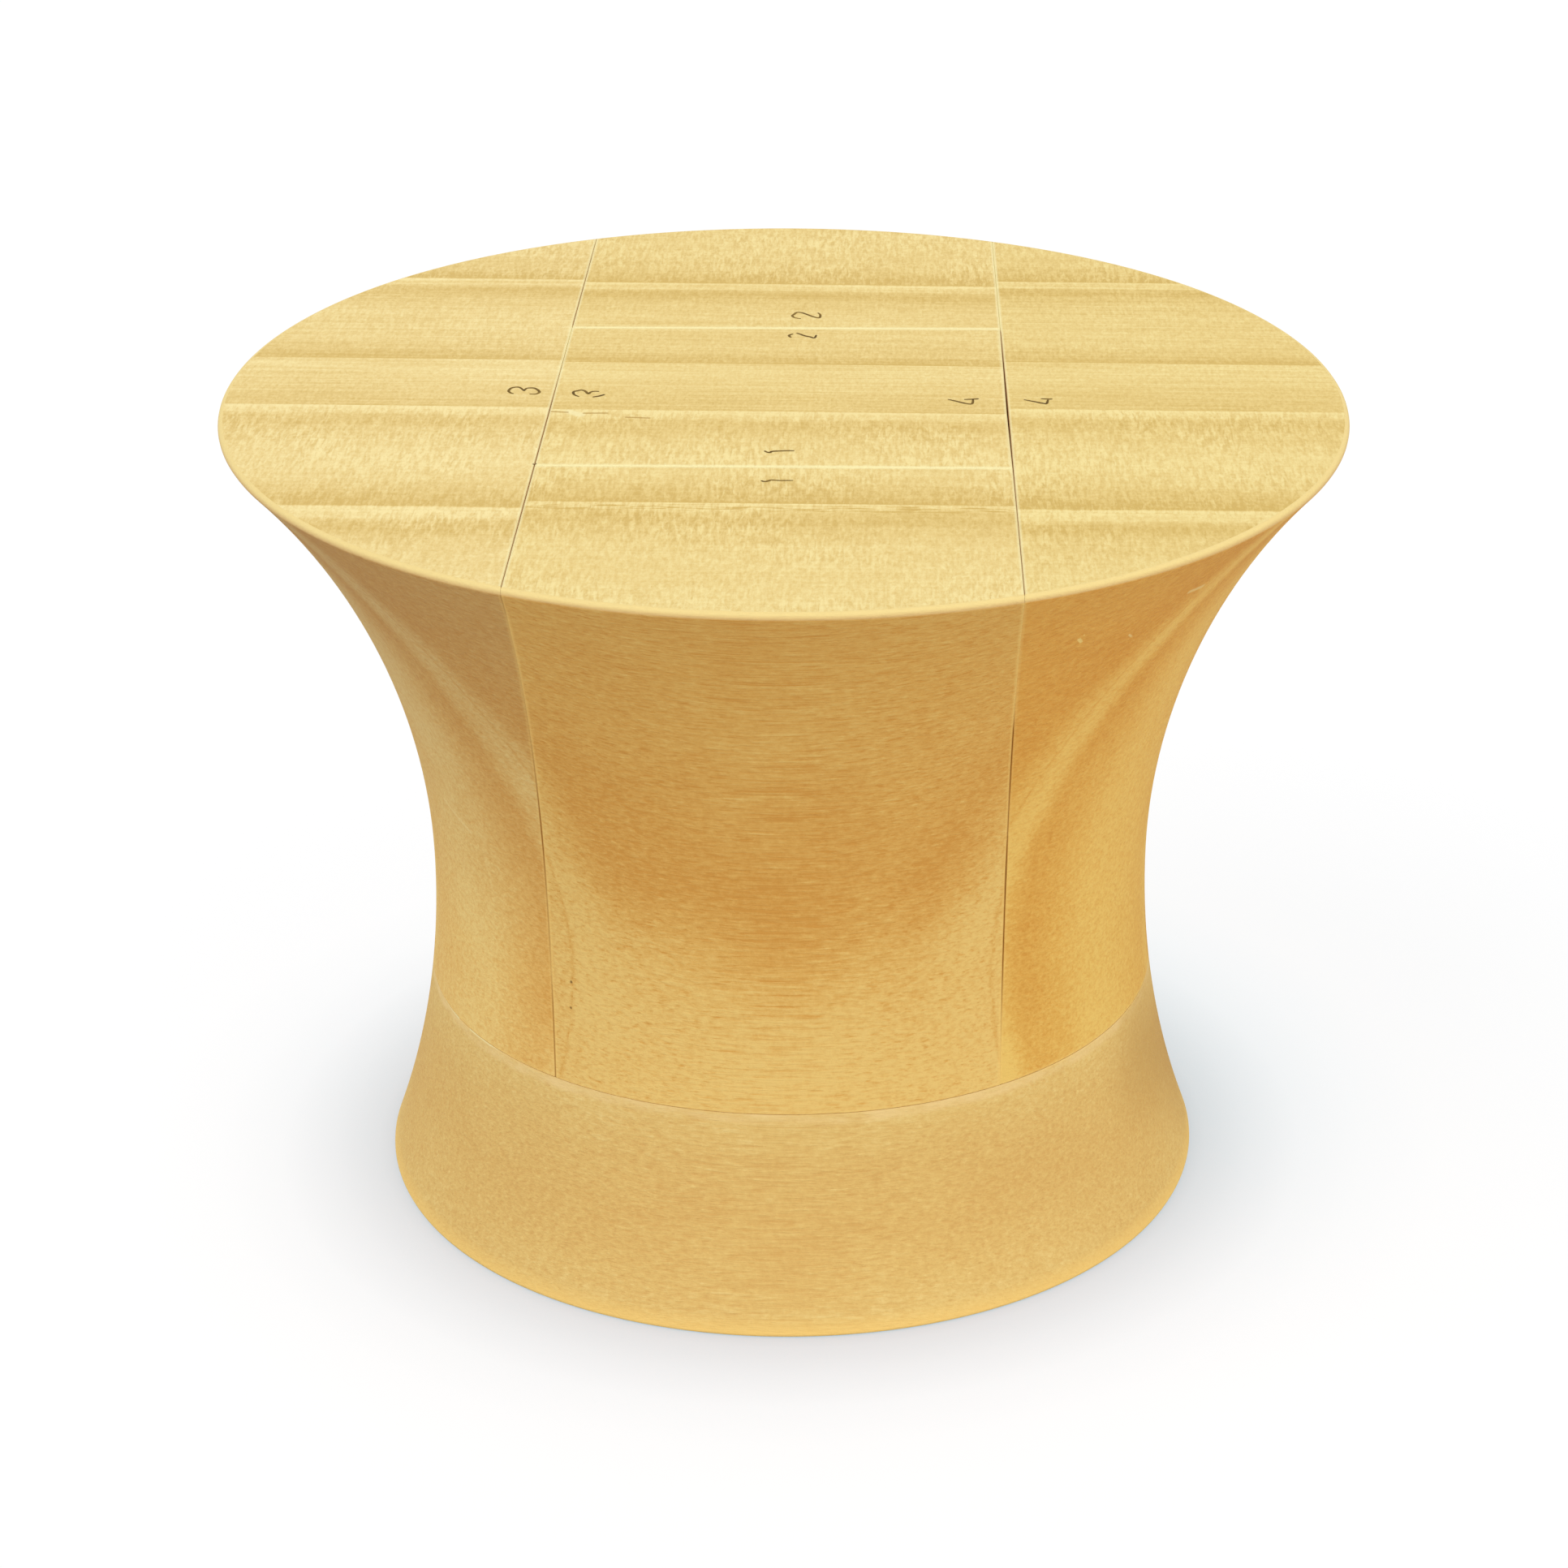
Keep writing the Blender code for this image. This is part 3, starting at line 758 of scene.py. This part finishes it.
# Small marks by surface and piece: kind, both ends in millimetres, and how far core and edge reach.
MARKS = {
    (SIDE, "right"): [
        ("chip_and_highlight", (62.0, -80.7, 179.1), (62.5, -79.6, 177.9), 0.2, 0.6),
        ("chip_and_highlight", (62.9, -80.9, 180.3), (62.9, -80.8, 180.2), 0.1, 0.35),
        ("scratch", (85.3, -67.0, 183.4), (88.2, -63.9, 183.2), 0.25, 1.0),
        ("scratch", (72.9, -70.7, 175.2), (73.5, -69.5, 174.2), 0.1, 0.4)],
    (SIDE, "left"): [
        ("scratch", (-76.8, -34.3, 113.0), (-70.2, -42.0, 109.1), 0.15, 0.8)],
    (SIDE, "front"): [
        ("pinhole_shade", (-47.3, -57.9, 79.7), (-47.3, -57.9, 79.8), 0.15, 0.45),
        ("pinhole_shade", (-47.6, -57.9, 72.8), (-47.6, -57.9, 72.9), 0.15, 0.45)],
    (SIDE, "base"): [
        ("nick_and_highlight", (-83.4, -19.0, 53.3), (-80.6, -26.6, 53.3), 0.2, 0.6),
        ("nick_and_highlight", (-80.6, -26.6, 53.3), (-77.2, -33.4, 53.3), 0.2, 0.6),
        ("nick_and_highlight", (-73.8, -38.3, 53.3), (-68.4, -44.6, 53.3), 0.15, 0.55),
        ("nick_and_highlight", (-68.4, -44.6, 53.3), (-61.6, -50.4, 53.3), 0.1, 0.45),
        ("stain", (89.0, -24.0, 40.0), (94.0, 2.0, 22.0), 0.0, 26.0)],
    (TOP, "key"): [
        ("patch", (-47.4, -11.4, 198.3), (-44.9, -13.0, 198.3), 0.4, 1.6),
        ("streak", (-51.2, -11.4, 198.3), (-47.8, -11.7, 198.3), 0.1, 0.5),
        ("streak", (-44.1, -12.1, 198.3), (-39.1, -11.9, 198.3), 0.1, 0.5),
        ("streak", (-34.7, -14.1, 198.3), (-29.7, -14.4, 198.3), 0.1, 0.5),
        ("pinhole_shade", (-51.8, -39.6, 198.3), (-51.8, -39.5, 198.3), 0.15, 0.45)],
    (TOP, "left"): [
        ("pinhole_shade", (-52.1, -39.7, 198.3), (-52.1, -39.6, 198.3), 0.15, 0.45)],
    (TOP, "front"): [
        ("pinhole_shade", (-51.8, -39.9, 198.3), (-51.8, -39.8, 198.3), 0.15, 0.45)],
}
MARK_COLOURS = {
    # Chips and nicks: paler bare wood together with a painted highlight on their edges, as the dents are not
    # modelled.
    "chip_and_highlight": ((255, 220, 132), 0.90),
    "scratch": ((250, 218, 144), 0.70),
    "nick_and_highlight": ((255, 236, 170), 0.90),
    # Pinholes: dark dots of painted shade in small holes that are not modelled.
    "pinhole_shade": ((110, 78, 36), 0.85),
    "stain": ((202, 158, 88), 0.60),
    "patch": ((255, 242, 184), 0.70),
    "streak": ((190, 150, 74), 0.85),
}

# Painted light and shade, as colour factors of each piece's side at the lower and the upper one of two
# levels, and of its top:
# the left piece cooler, as lit from the left, the right warmer, as from reflected light, the left flank
# darker high up under the overhang and lighter low down.
PAINTED_LIGHT_LEVELS = (75.0, 180.0)
SIDE_PAINTED_LIGHT = {
    "base": ((1.01, 1.03, 1.03), (1.01, 1.03, 1.03)),
    "left": ((1.06, 1.11, 1.18), (0.88, 0.90, 1.08)),
    "right": ((1.02, 1.0, 0.81), (1.05, 0.96, 0.76)),
    "front": ((1.0, 1.0, 0.98), (1.01, 0.99, 0.93)),
}
TOP_PAINTED_LIGHT = {
    "left": (1.02, 1.03, 1.09),
    "right": (0.99, 0.99, 0.96),
}
PLAIN = (1.0, 1.0, 1.0)


class Wood(Graph):
    """Material of one board on one kind of surface, with the places and noises that its parts share."""

    def __init__(self, name, piece, layer, lines, surface):
        super().__init__(name, PIECE_SEEDS[piece] + (0.0 if piece == "base" else LAYER_SEEDS[layer]))
        self.piece = piece
        self.layer = layer
        self.lines = lines
        self.surface = surface
        self.x, self.y, self.z = self.node("ShaderNodeSeparateXYZ", {0: self.here}).outputs
        self.wobble = self.times(self.grain("wobble"), WOBBLE)
        self.clouds = self.grain("clouds")
        self.streaks = self.grain("streaks")


def colour_stops(colours):
    return [(index / 2, linear(*colour)) for index, colour in enumerate(colours)]


def layer_tone(wood):
    """Lightness of a board from its place between its glue lines."""
    on_side = wood.surface == SIDE
    on_flank = (wood.piece, wood.layer) in FLANK_TONES
    tones = (SIDE_TONES if on_side else TOP_TONES)[wood.layer]
    if on_side and on_flank:
        tones = FLANK_TONES[wood.piece, wood.layer]
    elif on_flank and wood.layer == "front_inner":
        tones = [*tones, *FLANK_TOP_STOPS]
    back_line, front_line = wood.lines
    if wood.layer == "back":
        away = wood.less(wood.y, front_line / MM)
    elif back_line is None:
        away = wood.less(front_line / MM + tones[-1][0], wood.y)
    else:
        away = wood.less(back_line / MM, wood.y)
    if wood.layer == "front":
        away = bent_forwards(wood, away)
    tone = wood.from_tones(wood.add(away, wood.wobble), tones)
    if on_side and on_flank:
        aside = wood.add(wood.math("ABSOLUTE", wood.x), wood.wobble)
        level = wood.add(wood.z, wood.wobble)
        corner = wood.times(wood.spread(aside, *CORNER_REACH, 1.0, 0.0, smooth=True),
                            wood.spread(level, *CORNER_LEVEL, 1.0, 0.0, smooth=True))
        tone = wood.add(tone, wood.times(corner, CORNER_LIGHT))
    return tone


def bent_forwards(wood, away):
    """Distance from the front glue line, changed so that the front layer's bands bend and narrow."""
    under = wood.math("MAXIMUM", wood.less(BEND_LEVEL, wood.z), 0.0)
    bend = wood.math("DIVIDE", wood.times(under, under), BEND_RADIUS)
    if wood.piece == "front":
        aside = wood.math("ABSOLUTE", wood.less(wood.x, FRONT_MIDDLE / MM))
        narrowing = wood.times(wood.spread(aside, *NARROWING_REACH, 0.0, NARROWING, smooth=True),
                               wood.spread(wood.z, *NARROWING_LEVEL, NARROWING_ABOVE, 1.0, smooth=True))
        away = wood.add(away, narrowing)
    return wood.math("MAXIMUM", wood.less(away, bend), LEAST_AWAY)


def glue_shade(wood):
    """Thin, broken dark line where two boards meet."""
    shade = 0.0
    for line in wood.lines:
        if line is not None:
            gap = wood.math("ABSOLUTE", wood.less(wood.y, line / MM))
            shade = wood.add(shade, wood.spread(gap, *GLUE_SHADE))
    return wood.times(shade, wood.spread(wood.streaks, *GLUE_BREAKS))


def torn_grain(wood):
    """Short dark tears in the light band just in front of the back glue line."""
    away = wood.less(wood.lines[0] / MM, wood.y)
    band = wood.times(wood.spread(away, *TORN_FROM), wood.spread(away, *TORN_TO))
    return wood.times(wood.spread(wood.grain("tears"), *TORN_SHADE), band)


def side_figure(wood):
    """Short dashes along the grain, a few long dark and light lines and a fine even mottle."""
    dashes = wood.grain("dashes")
    peel = wood.grain("peel")
    lines = wood.grain("lines")
    strength = SIDE_LINES[wood.piece]
    dark_lines = wood.spread(lines, *DARK_LINE_RANGE, 0.0, DARK_LINE * strength)
    light_lines = wood.spread(lines, *LIGHT_LINE_RANGE, LIGHT_LINE * strength, 0.0)
    figure = wood.add(wood.times(dashes, DASHES), wood.times(peel, PEEL), dark_lines, light_lines)
    return figure, wood.add(dashes, wood.times(peel, PEEL_RELIEF))


def top_figure(wood):
    """Ripple strokes across the grain, lines along it and a fuzzy mottle."""
    strength = wood.spread(wood.clouds, *RIPPLE_CLOUDS)
    ripple = wood.times(wood.spread(wood.grain("strokes"), *RIPPLE_RANGE), strength)
    fuzz = wood.grain("fuzz")
    figure = wood.add(wood.times(ripple, STROKES * RIPPLE[wood.layer]),
                      wood.times(wood.grain("along"), ALONG * LINES[wood.layer]),
                      wood.times(fuzz, FUZZ))
    return figure, wood.add(wood.times(ripple, RIPPLE[wood.layer]), fuzz)


def bare_tone(wood):
    """Lightness of the wood before wear and marks, and the relief that goes with its figure."""
    if wood.piece == "base":
        tone = wood.add(wood.from_tones(wood.z, BASE_TONES), wood.times(wood.wobble, BASE_WOBBLE))
    else:
        tone = wood.add(layer_tone(wood), glue_shade(wood))
    figure, relief = side_figure(wood) if wood.surface == SIDE else top_figure(wood)
    if (wood.piece, wood.layer, wood.surface) == ("front", "front", TOP):
        figure = wood.add(figure, torn_grain(wood))
    clouds = wood.times(wood.clouds, CLOUDS[wood.surface])
    streaks = wood.times(wood.streaks, STREAKS[wood.surface])
    return wood.add(tone, figure, clouds, streaks), relief


def bare_colour(wood, tone):
    """Colour of the wood by its lightness, with its piece's painted light and shade."""
    side_colours = BASE_COLOURS if wood.piece == "base" else SIDE_COLOURS
    colours = {TOP: TOP_COLOURS, SIDE: side_colours, SAWN: SAWN_COLOURS}[wood.surface]
    painted_light = (*TOP_PAINTED_LIGHT.get(wood.piece, PLAIN), 1.0)
    if wood.surface == SIDE:
        low_painted_light, high_painted_light = SIDE_PAINTED_LIGHT.get(wood.piece, (PLAIN, PLAIN))
        # Painted shade and light along the sides, changing from the lower level to the upper.
        painted_light = wood.mix(wood.spread(wood.z, *PAINTED_LIGHT_LEVELS), (*low_painted_light, 1.0), (*high_painted_light, 1.0))
    return wood.mix(1.0, wood.ramp(tone, colour_stops(colours)), painted_light, "MULTIPLY")


def add_wear(wood, colour):
    """Pale worn arrises, with brown painted shade where a cut is wide and shade falls into it."""
    worn = WORN_SIDE if wood.surface == SIDE else WORN_TOP
    share = SIDE_WEAR[wood.piece] if wood.surface == SIDE else 1.0
    colour = wood.mix(wood.times(wood.attribute("wear"), share), colour, linear(*worn))
    painted_gap_shade = wood.times(wood.attribute("painted_gap_shade"), GAP_SHADE_SHARE[wood.surface])
    return wood.mix(painted_gap_shade, colour, linear(*GAP_SHADE_COLOUR))


def add_rubbed_band(wood, colour):
    """Uneven pale band under the level seam."""
    level = wood.add(wood.z, wood.times(wood.wobble, RUBBED_WOBBLE))
    rubbed = wood.spread(level, *RUBBED_BAND, smooth=True)
    patchy = wood.spread(wood.add(wood.clouds, wood.grain("patches")), *RUBBED_PATCHES)
    return wood.mix(wood.times(rubbed, patchy), colour, linear(*RUBBED_COLOUR))


def add_rim_highlight(wood, colour):
    """Painted highlight on the crown's rounded top edge, paler towards the top."""
    stops = [(0.0, linear(*RIM_HIGHLIGHT_LOW)), (RIM_HIGHLIGHT_SHARE, linear(*RIM_HIGHLIGHT_HIGH))]
    rim_highlight = wood.ramp(wood.spread(wood.z, *RIM_HIGHLIGHT_LEVEL), stops)
    level = wood.add(wood.z, wood.times(wood.wobble, RIM_HIGHLIGHT_WOBBLE))
    return wood.mix(wood.spread(level, *RIM_HIGHLIGHT_START), colour, rim_highlight)


def add_marks(wood, colour):
    """The small marks of this piece and kind of surface."""
    for kind, start, end, core, edge in MARKS.get((wood.surface, wood.piece), []):
        mark, strength = MARK_COLOURS[kind]
        share = wood.times(wood.near(start, end, core, edge), strength)
        colour = wood.mix(share, colour, linear(*mark))
    return colour


def board_wood(name, piece, layer, lines, surface):
    """Wood of one board on one kind of surface."""
    wood = Wood(name, piece, layer, lines, surface)
    tone, relief = bare_tone(wood)
    colour = bare_colour(wood, tone)
    if surface != SAWN:
        colour = add_wear(wood, colour)
    if surface == SIDE:
        # The base gets its pale band; the crown gets a painted highlight on its rounded top edge.
        colour = add_rubbed_band(wood, colour) if piece == "base" else add_rim_highlight(wood, colour)
    colour = add_marks(wood, colour)
    wood.shader.inputs["Specular IOR Level"].default_value = WOOD_SPECULAR
    roughness = wood.spread(relief, -1.0, 1.0, *WOOD_ROUGHNESS)
    return wood.finish(colour, roughness, relief, WOOD_BUMPS[surface], WOOD_BUMP_DEPTH)


def make_boards():
    """Every board of the base and of the crown."""
    block = whole_block()
    skin = BVHTree.FromBMesh(block)
    cutters = {"crown": crown_cutter(), "base": base_cutter()}
    cuts = piece_cuts()
    for piece, boards in PIECE_BOARDS.items():
        cutter = cutters["base" if piece == "base" else "crown"]
        for (place, layer), lines in zip(boards, glue_lines(piece)):
            woods = [board_wood(f"{piece}_{place}_{kind}", piece, layer, lines, surface)
                     for surface, kind in enumerate(SURFACES)]
            item = make_board(block, skin, piece, place, cuts[piece], lines, woods, cutter)
            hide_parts(f"{piece}_{place}_board")
            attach(item, body_of_piece(piece))
    block.free()
    for cutter in cutters.values():
        bpy.data.objects.remove(cutter)


# Strokes of the pencilled numbers on the top, as (x, y) places in millimetres, by piece_number.
PENCIL_NUMBERS = {
    "left_3": [
        [(-60.7, -1.6), (-61.5, -1.1), (-62.0, 0.0), (-61.7, 1.4), (-61.1, 2.0), (-60.2, 2.2), (-59.5, 1.7),
         (-58.6, 0.1)],
        [(-58.6, 0.1), (-58.2, 1.5), (-57.4, 1.8), (-56.5, 1.7), (-55.6, 0.7), (-55.1, -0.5), (-55.5, -1.4),
         (-56.3, -1.7), (-57.2, -1.6)]],
    "key_3": [
        [(-46.1, -2.8), (-46.9, -2.2), (-47.5, -1.2), (-47.5, 0.0), (-46.7, 0.5), (-45.9, 0.9), (-45.0, 0.3),
         (-44.2, -1.2), (-43.7, -0.1), (-42.8, 0.3), (-41.9, 0.2)],
        [(-40.5, -1.4), (-41.7, -2.4), (-43.1, -3.0)]],
    "key_4": [
        [(35.7, -2.0), (37.7, -3.1), (39.4, -4.1), (41.0, -4.4), (41.3, -1.9)],
        [(39.3, -2.0), (41.5, -1.7), (42.6, -1.4)]],
    "right_4": [
        [(52.6, -1.7), (55.0, -2.8), (56.7, -3.6), (57.6, -3.7), (58.0, -1.6)],
        [(56.4, -1.0), (58.1, -1.2), (59.0, -1.1)]],
    "back_2": [
        [(1.5, 45.8), (0.6, 46.1), (-0.2, 46.6), (-0.6, 47.7), (-0.2, 48.6), (0.4, 49.8), (1.5, 49.7),
         (2.7, 48.7), (4.3, 47.2), (5.4, 46.5), (5.9, 46.7), (6.0, 48.2), (5.7, 49.2), (5.3, 49.7)]],
    "key_2": [
        [(-0.4, 33.8), (-0.9, 34.8), (-0.7, 35.5), (0.0, 36.1)],
        [(0.7, 36.7), (1.6, 36.0), (2.7, 35.0), (3.9, 34.4), (5.0, 33.7), (5.4, 35.6)]],
    "key_1": [
        [(-3.8, -31.4), (-3.3, -32.0), (-2.6, -32.3), (-2.1, -31.7), (-0.5, -31.4), (1.3, -31.2),
         (2.6, -31.2)]],
    "front_1": [
        [(-3.8, -46.8), (-3.4, -47.2), (-2.8, -47.3), (-2.2, -46.9), (-1.6, -46.5), (0.1, -46.7),
         (2.9, -46.6)]],
}
PENCIL_WIDTH = 0.66 * MM
PENCIL_END = 0.55
PENCIL_LIFT = 0.015 * MM
PENCIL_STEPS = 5
PENCIL_DARK = (92, 68, 22)
PENCIL_PALE = (146, 116, 50)
PENCIL_BREAKS = 0.5
PENCIL_RANGE = (-0.8, 0.8)
PENCIL_ROUGHNESS = (0.5, 0.7)
PENCIL_SPECULAR = 0.10
PENCIL_BUMP = 0.3
PENCIL_BUMP_DEPTH = 0.00003


def smooth_path(corners):
    """Points of a smooth curve through the given places."""
    ends = [corners[0], *corners, corners[-1]]
    points = []
    for before, start, end, after in zip(ends, ends[1:], ends[2:], ends[3:]):
        for step in range(PENCIL_STEPS):
            share = step / PENCIL_STEPS
            bow = 2 * start + share * (end - before)
            bow += share ** 2 * (2 * before - 5 * start + 4 * end - after)
            bow += share ** 3 * (3 * start - before - 3 * end + after)
            points.append(bow / 2)
    return [*points, corners[-1]]


def add_stroke(mesh, corners):
    """Add one pencil stroke as a thin ribbon, narrower at its ends."""
    points = smooth_path([Vector(corner) * MM for corner in corners])
    last = len(points) - 1
    sides = []
    for index, point in enumerate(points):
        heading = points[min(index + 1, last)] - points[max(index - 1, 0)]
        across = Vector((-heading.y, heading.x)).normalized()
        fullness = math.sin(math.pi * index / last) ** 0.5
        half = PENCIL_WIDTH / 2 * (PENCIL_END + (1 - PENCIL_END) * fullness)
        sides.append([mesh.verts.new((*(point + across * side * half), HEIGHT + PENCIL_LIFT))
                      for side in (-1, 1)])
    for (low, high), (next_low, next_high) in zip(sides, sides[1:]):
        mesh.faces.new((low, next_low, next_high, high))


def pencil():
    """Soft pencil on bare wood, broken by the grain."""
    graph = Graph("pencil")
    breaks = graph.grain("pencil_breaks")
    pressure = graph.add(graph.times(breaks, PENCIL_BREAKS), graph.grain("pencil_pressure"))
    share = graph.spread(pressure, *PENCIL_RANGE)
    colour = graph.mix(share, linear(*PENCIL_DARK), linear(*PENCIL_PALE))
    graph.shader.inputs["Specular IOR Level"].default_value = PENCIL_SPECULAR
    roughness = graph.spread(breaks, -1.0, 1.0, *PENCIL_ROUGHNESS)
    return graph.finish(colour, roughness, breaks, PENCIL_BUMP, PENCIL_BUMP_DEPTH)


def make_numbers():
    """Pencilled numbers that tell the pieces' places, one on each side of a saw cut."""
    lead = pencil()
    for name, strokes in PENCIL_NUMBERS.items():
        piece, _ = name.split("_")
        mesh = bmesh.new()
        for corners in strokes:
            add_stroke(mesh, corners)
        item = new_object(f"number_{name}", mesh)
        item.data.materials.append(lead)
        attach(item, body_of_piece(piece))


DOWEL_COLOURS = ((186, 148, 98), (206, 172, 122), (222, 194, 146))
DOWEL_TONE, DOWEL_GRAIN, DOWEL_SHADE = 0.5, 0.25, 0.20
DOWEL_ROUGHNESS = (0.45, 0.6)
DOWEL_BUMP = 0.4
DOWEL_BUMP_DEPTH = 0.00005


def dowel_wood():
    """Straight-grained hardwood of the dowels, with the grain standing upright."""
    graph = Graph("dowel_wood")
    grain = graph.grain("dowel_grain")
    shade = graph.times(graph.grain("dowel_shade"), DOWEL_SHADE)
    tone = graph.add(DOWEL_TONE, graph.times(grain, DOWEL_GRAIN), shade)
    roughness = graph.spread(grain, -1.0, 1.0, *DOWEL_ROUGHNESS)
    return graph.finish(graph.ramp(tone, colour_stops(DOWEL_COLOURS)), roughness, grain,
                        DOWEL_BUMP, DOWEL_BUMP_DEPTH)


def dowel_profile(radius, low, high):
    """(radius, z) pairs of a dowel with rounded ends, lowest first."""
    lower = []
    for turn in DOWEL_END_TURNS:
        angle = math.radians(turn)
        lower.append((radius - DOWEL_ROUNDING * (1 - math.sin(angle)),
                      low + DOWEL_ROUNDING * (1 - math.cos(angle))))
    return [*lower, *((out, low + high - z) for out, z in reversed(lower))]


def make_dowels():
    """Dowels with rounded ends, each in place of its solid."""
    wood = dowel_wood()
    for name, (low, high) in dowel_boxes().items():
        mesh = bmesh.new()
        profile = dowel_profile((high.x - low.x) / 2, low.z, high.z)
        add_turned(mesh, (low + high) / 2, profile, 0)
        item = new_object(name.replace("dowel", "peg"), mesh)
        item.data.materials.append(wood)
        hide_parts(name)
        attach(item, "base")


# Stage, light and camera

WORLD_LIGHT = 0.78

# Floor: the colour that it shows to the camera where it is fully lit, by the distance in millimetres from
# the foot, darker close to the foot as a painted soft shadow round it; how strongly the light and the
# shadows change it near the foot and far from it, and what it throws back at the block. Red shows the
# shadows more, because the wood reddens the light beside it.
FLOOR_WHITE_WITH_PAINTED_SHADOW = [(0, 0.760), (4, 0.820), (15, 0.905), (28, 0.980), (43, 1.012), (63, 1.025)]
FLOOR_TAKES_NEAR = (0.50, 0.26, 0.17, 1.0)
FLOOR_TAKES_FAR = (0.27, 0.23, 0.20, 1.0)
FLOOR_BOUNCE = (0.5, 0.5, 0.5, 1.0)
FLOOR_HALF = 4.0

# Wide distant lamps: turn to the right of the front, height and width in degrees, strength, colour.
LAMPS = {
    "key_lamp": (-60, 52, 40, 0.70, (0.97, 1.0, 1.08)),
    "fill_lamp": (50, 7, 40, 0.90, (1.05, 1.0, 0.86)),
}

# Camera, from a fit to the block's outlines in the photograph: place in metres, its right, down and forward
# directions, and its focal length and the middle of its view in pixels of the square picture.
CAMERA_PLACE = (0.02579, -0.64248, 0.46744)
CAMERA_RIGHT = (0.9998751, -0.0058034, 0.0147032)
CAMERA_DOWN = (0.0101700, -0.4759028, -0.8794391)
CAMERA_FORWARD = (0.0121010, 0.8794787, -0.4757844)
PICTURE = 1932.0
FOCAL = 3833.1
VIEW_MIDDLE = (1155.5, 869.1)
SENSOR_WIDTH = 36.0


def make_floor():
    """Pale floor that looks white where it is fully lit, with a painted soft shadow close round the foot, and
    keeps the block's own soft shadow.
    """
    mesh = bmesh.new()
    signs = ((-1, -1), (1, -1), (1, 1), (-1, 1))
    mesh.faces.new([mesh.verts.new((x * FLOOR_HALF, y * FLOOR_HALF, 0)) for x, y in signs])
    floor = new_object("floor", mesh)
    graph = Graph("floor")
    seen = graph.node("ShaderNodeLightPath", {}).outputs["Is Camera Ray"]
    long_reach = FOOT_LENGTH / 2
    short_reach = long_reach - LENGTH_OVER_WIDTH / 2
    rounded = graph.vector("MULTIPLY", {0: graph.here, 1: (1, long_reach / short_reach, 0)})
    away = graph.less(graph.vector("LENGTH", {0: rounded}), long_reach / MM)
    # Painted soft shadow: the floor's shown level falls off close to the foot.
    white = graph.from_tones(away, FLOOR_WHITE_WITH_PAINTED_SHADOW)
    shown = graph.mix(graph.spread(away, 0.0, FLOOR_WHITE_WITH_PAINTED_SHADOW[-1][0]), FLOOR_TAKES_NEAR, FLOOR_TAKES_FAR)
    graph.put(graph.shader.inputs["Base Color"], graph.mix(seen, FLOOR_BOUNCE, shown))
    graph.shader.inputs["Roughness"].default_value = 1.0
    graph.shader.inputs["Specular IOR Level"].default_value = 0.0
    graph.put(graph.shader.inputs["Emission Color"], graph.mix(1.0, white, shown, "SUBTRACT"))
    graph.put(graph.shader.inputs["Emission Strength"], seen)
    floor.data.materials.append(graph.material)


def make_world():
    """Even pale light from all round, white where the camera looks straight at it."""
    world = bpy.data.worlds.new("studio")
    bpy.context.scene.world = world
    world.use_nodes = True
    tree = world.node_tree
    background = tree.nodes["Background"]
    background.inputs["Color"].default_value = (1.0, 1.0, 1.0, 1.0)
    seen = tree.nodes.new("ShaderNodeLightPath").outputs["Is Camera Ray"]
    strength = tree.nodes.new("ShaderNodeMapRange")
    strength.inputs[3].default_value = WORLD_LIGHT
    strength.inputs[4].default_value = 1.0
    tree.links.new(seen, strength.inputs[0])
    tree.links.new(strength.outputs[0], background.inputs["Strength"])


def make_lamps():
    """Wide distant lamps that light the block at a plain level."""
    for name, (turn, height, width, strength, colour) in LAMPS.items():
        across = math.radians(turn)
        up = math.radians(height)
        towards = Vector((math.sin(across) * math.cos(up), -math.cos(across) * math.cos(up), math.sin(up)))
        lamp = bpy.data.lights.new(name, "SUN")
        lamp.angle = math.radians(width)
        lamp.energy = strength
        lamp.color = colour
        item = bpy.data.objects.new(name, lamp)
        item.rotation_mode = "QUATERNION"
        item.rotation_quaternion = towards.to_track_quat("Z", "Y")
        bpy.context.scene.collection.objects.link(item)


def make_camera():
    """Camera at the photograph's viewing angle."""
    data = bpy.data.cameras.new("camera")
    data.sensor_width = SENSOR_WIDTH
    data.lens = FOCAL / PICTURE * SENSOR_WIDTH
    data.shift_x = (PICTURE / 2 - VIEW_MIDDLE[0]) / PICTURE
    data.shift_y = (VIEW_MIDDLE[1] - PICTURE / 2) / PICTURE
    item = bpy.data.objects.new("camera", data)
    columns = (Vector(CAMERA_RIGHT), -Vector(CAMERA_DOWN), -Vector(CAMERA_FORWARD))
    turned = Matrix([[column[row] for column in columns] for row in range(3)])
    item.matrix_world = Matrix.Translation(CAMERA_PLACE) @ turned.to_4x4()
    bpy.context.scene.collection.objects.link(item)
    bpy.context.scene.camera = item


make_boards()
make_dowels()
make_numbers()
make_floor()
make_world()
make_lamps()
make_camera()
bpy.context.scene.view_settings.view_transform = "Standard"
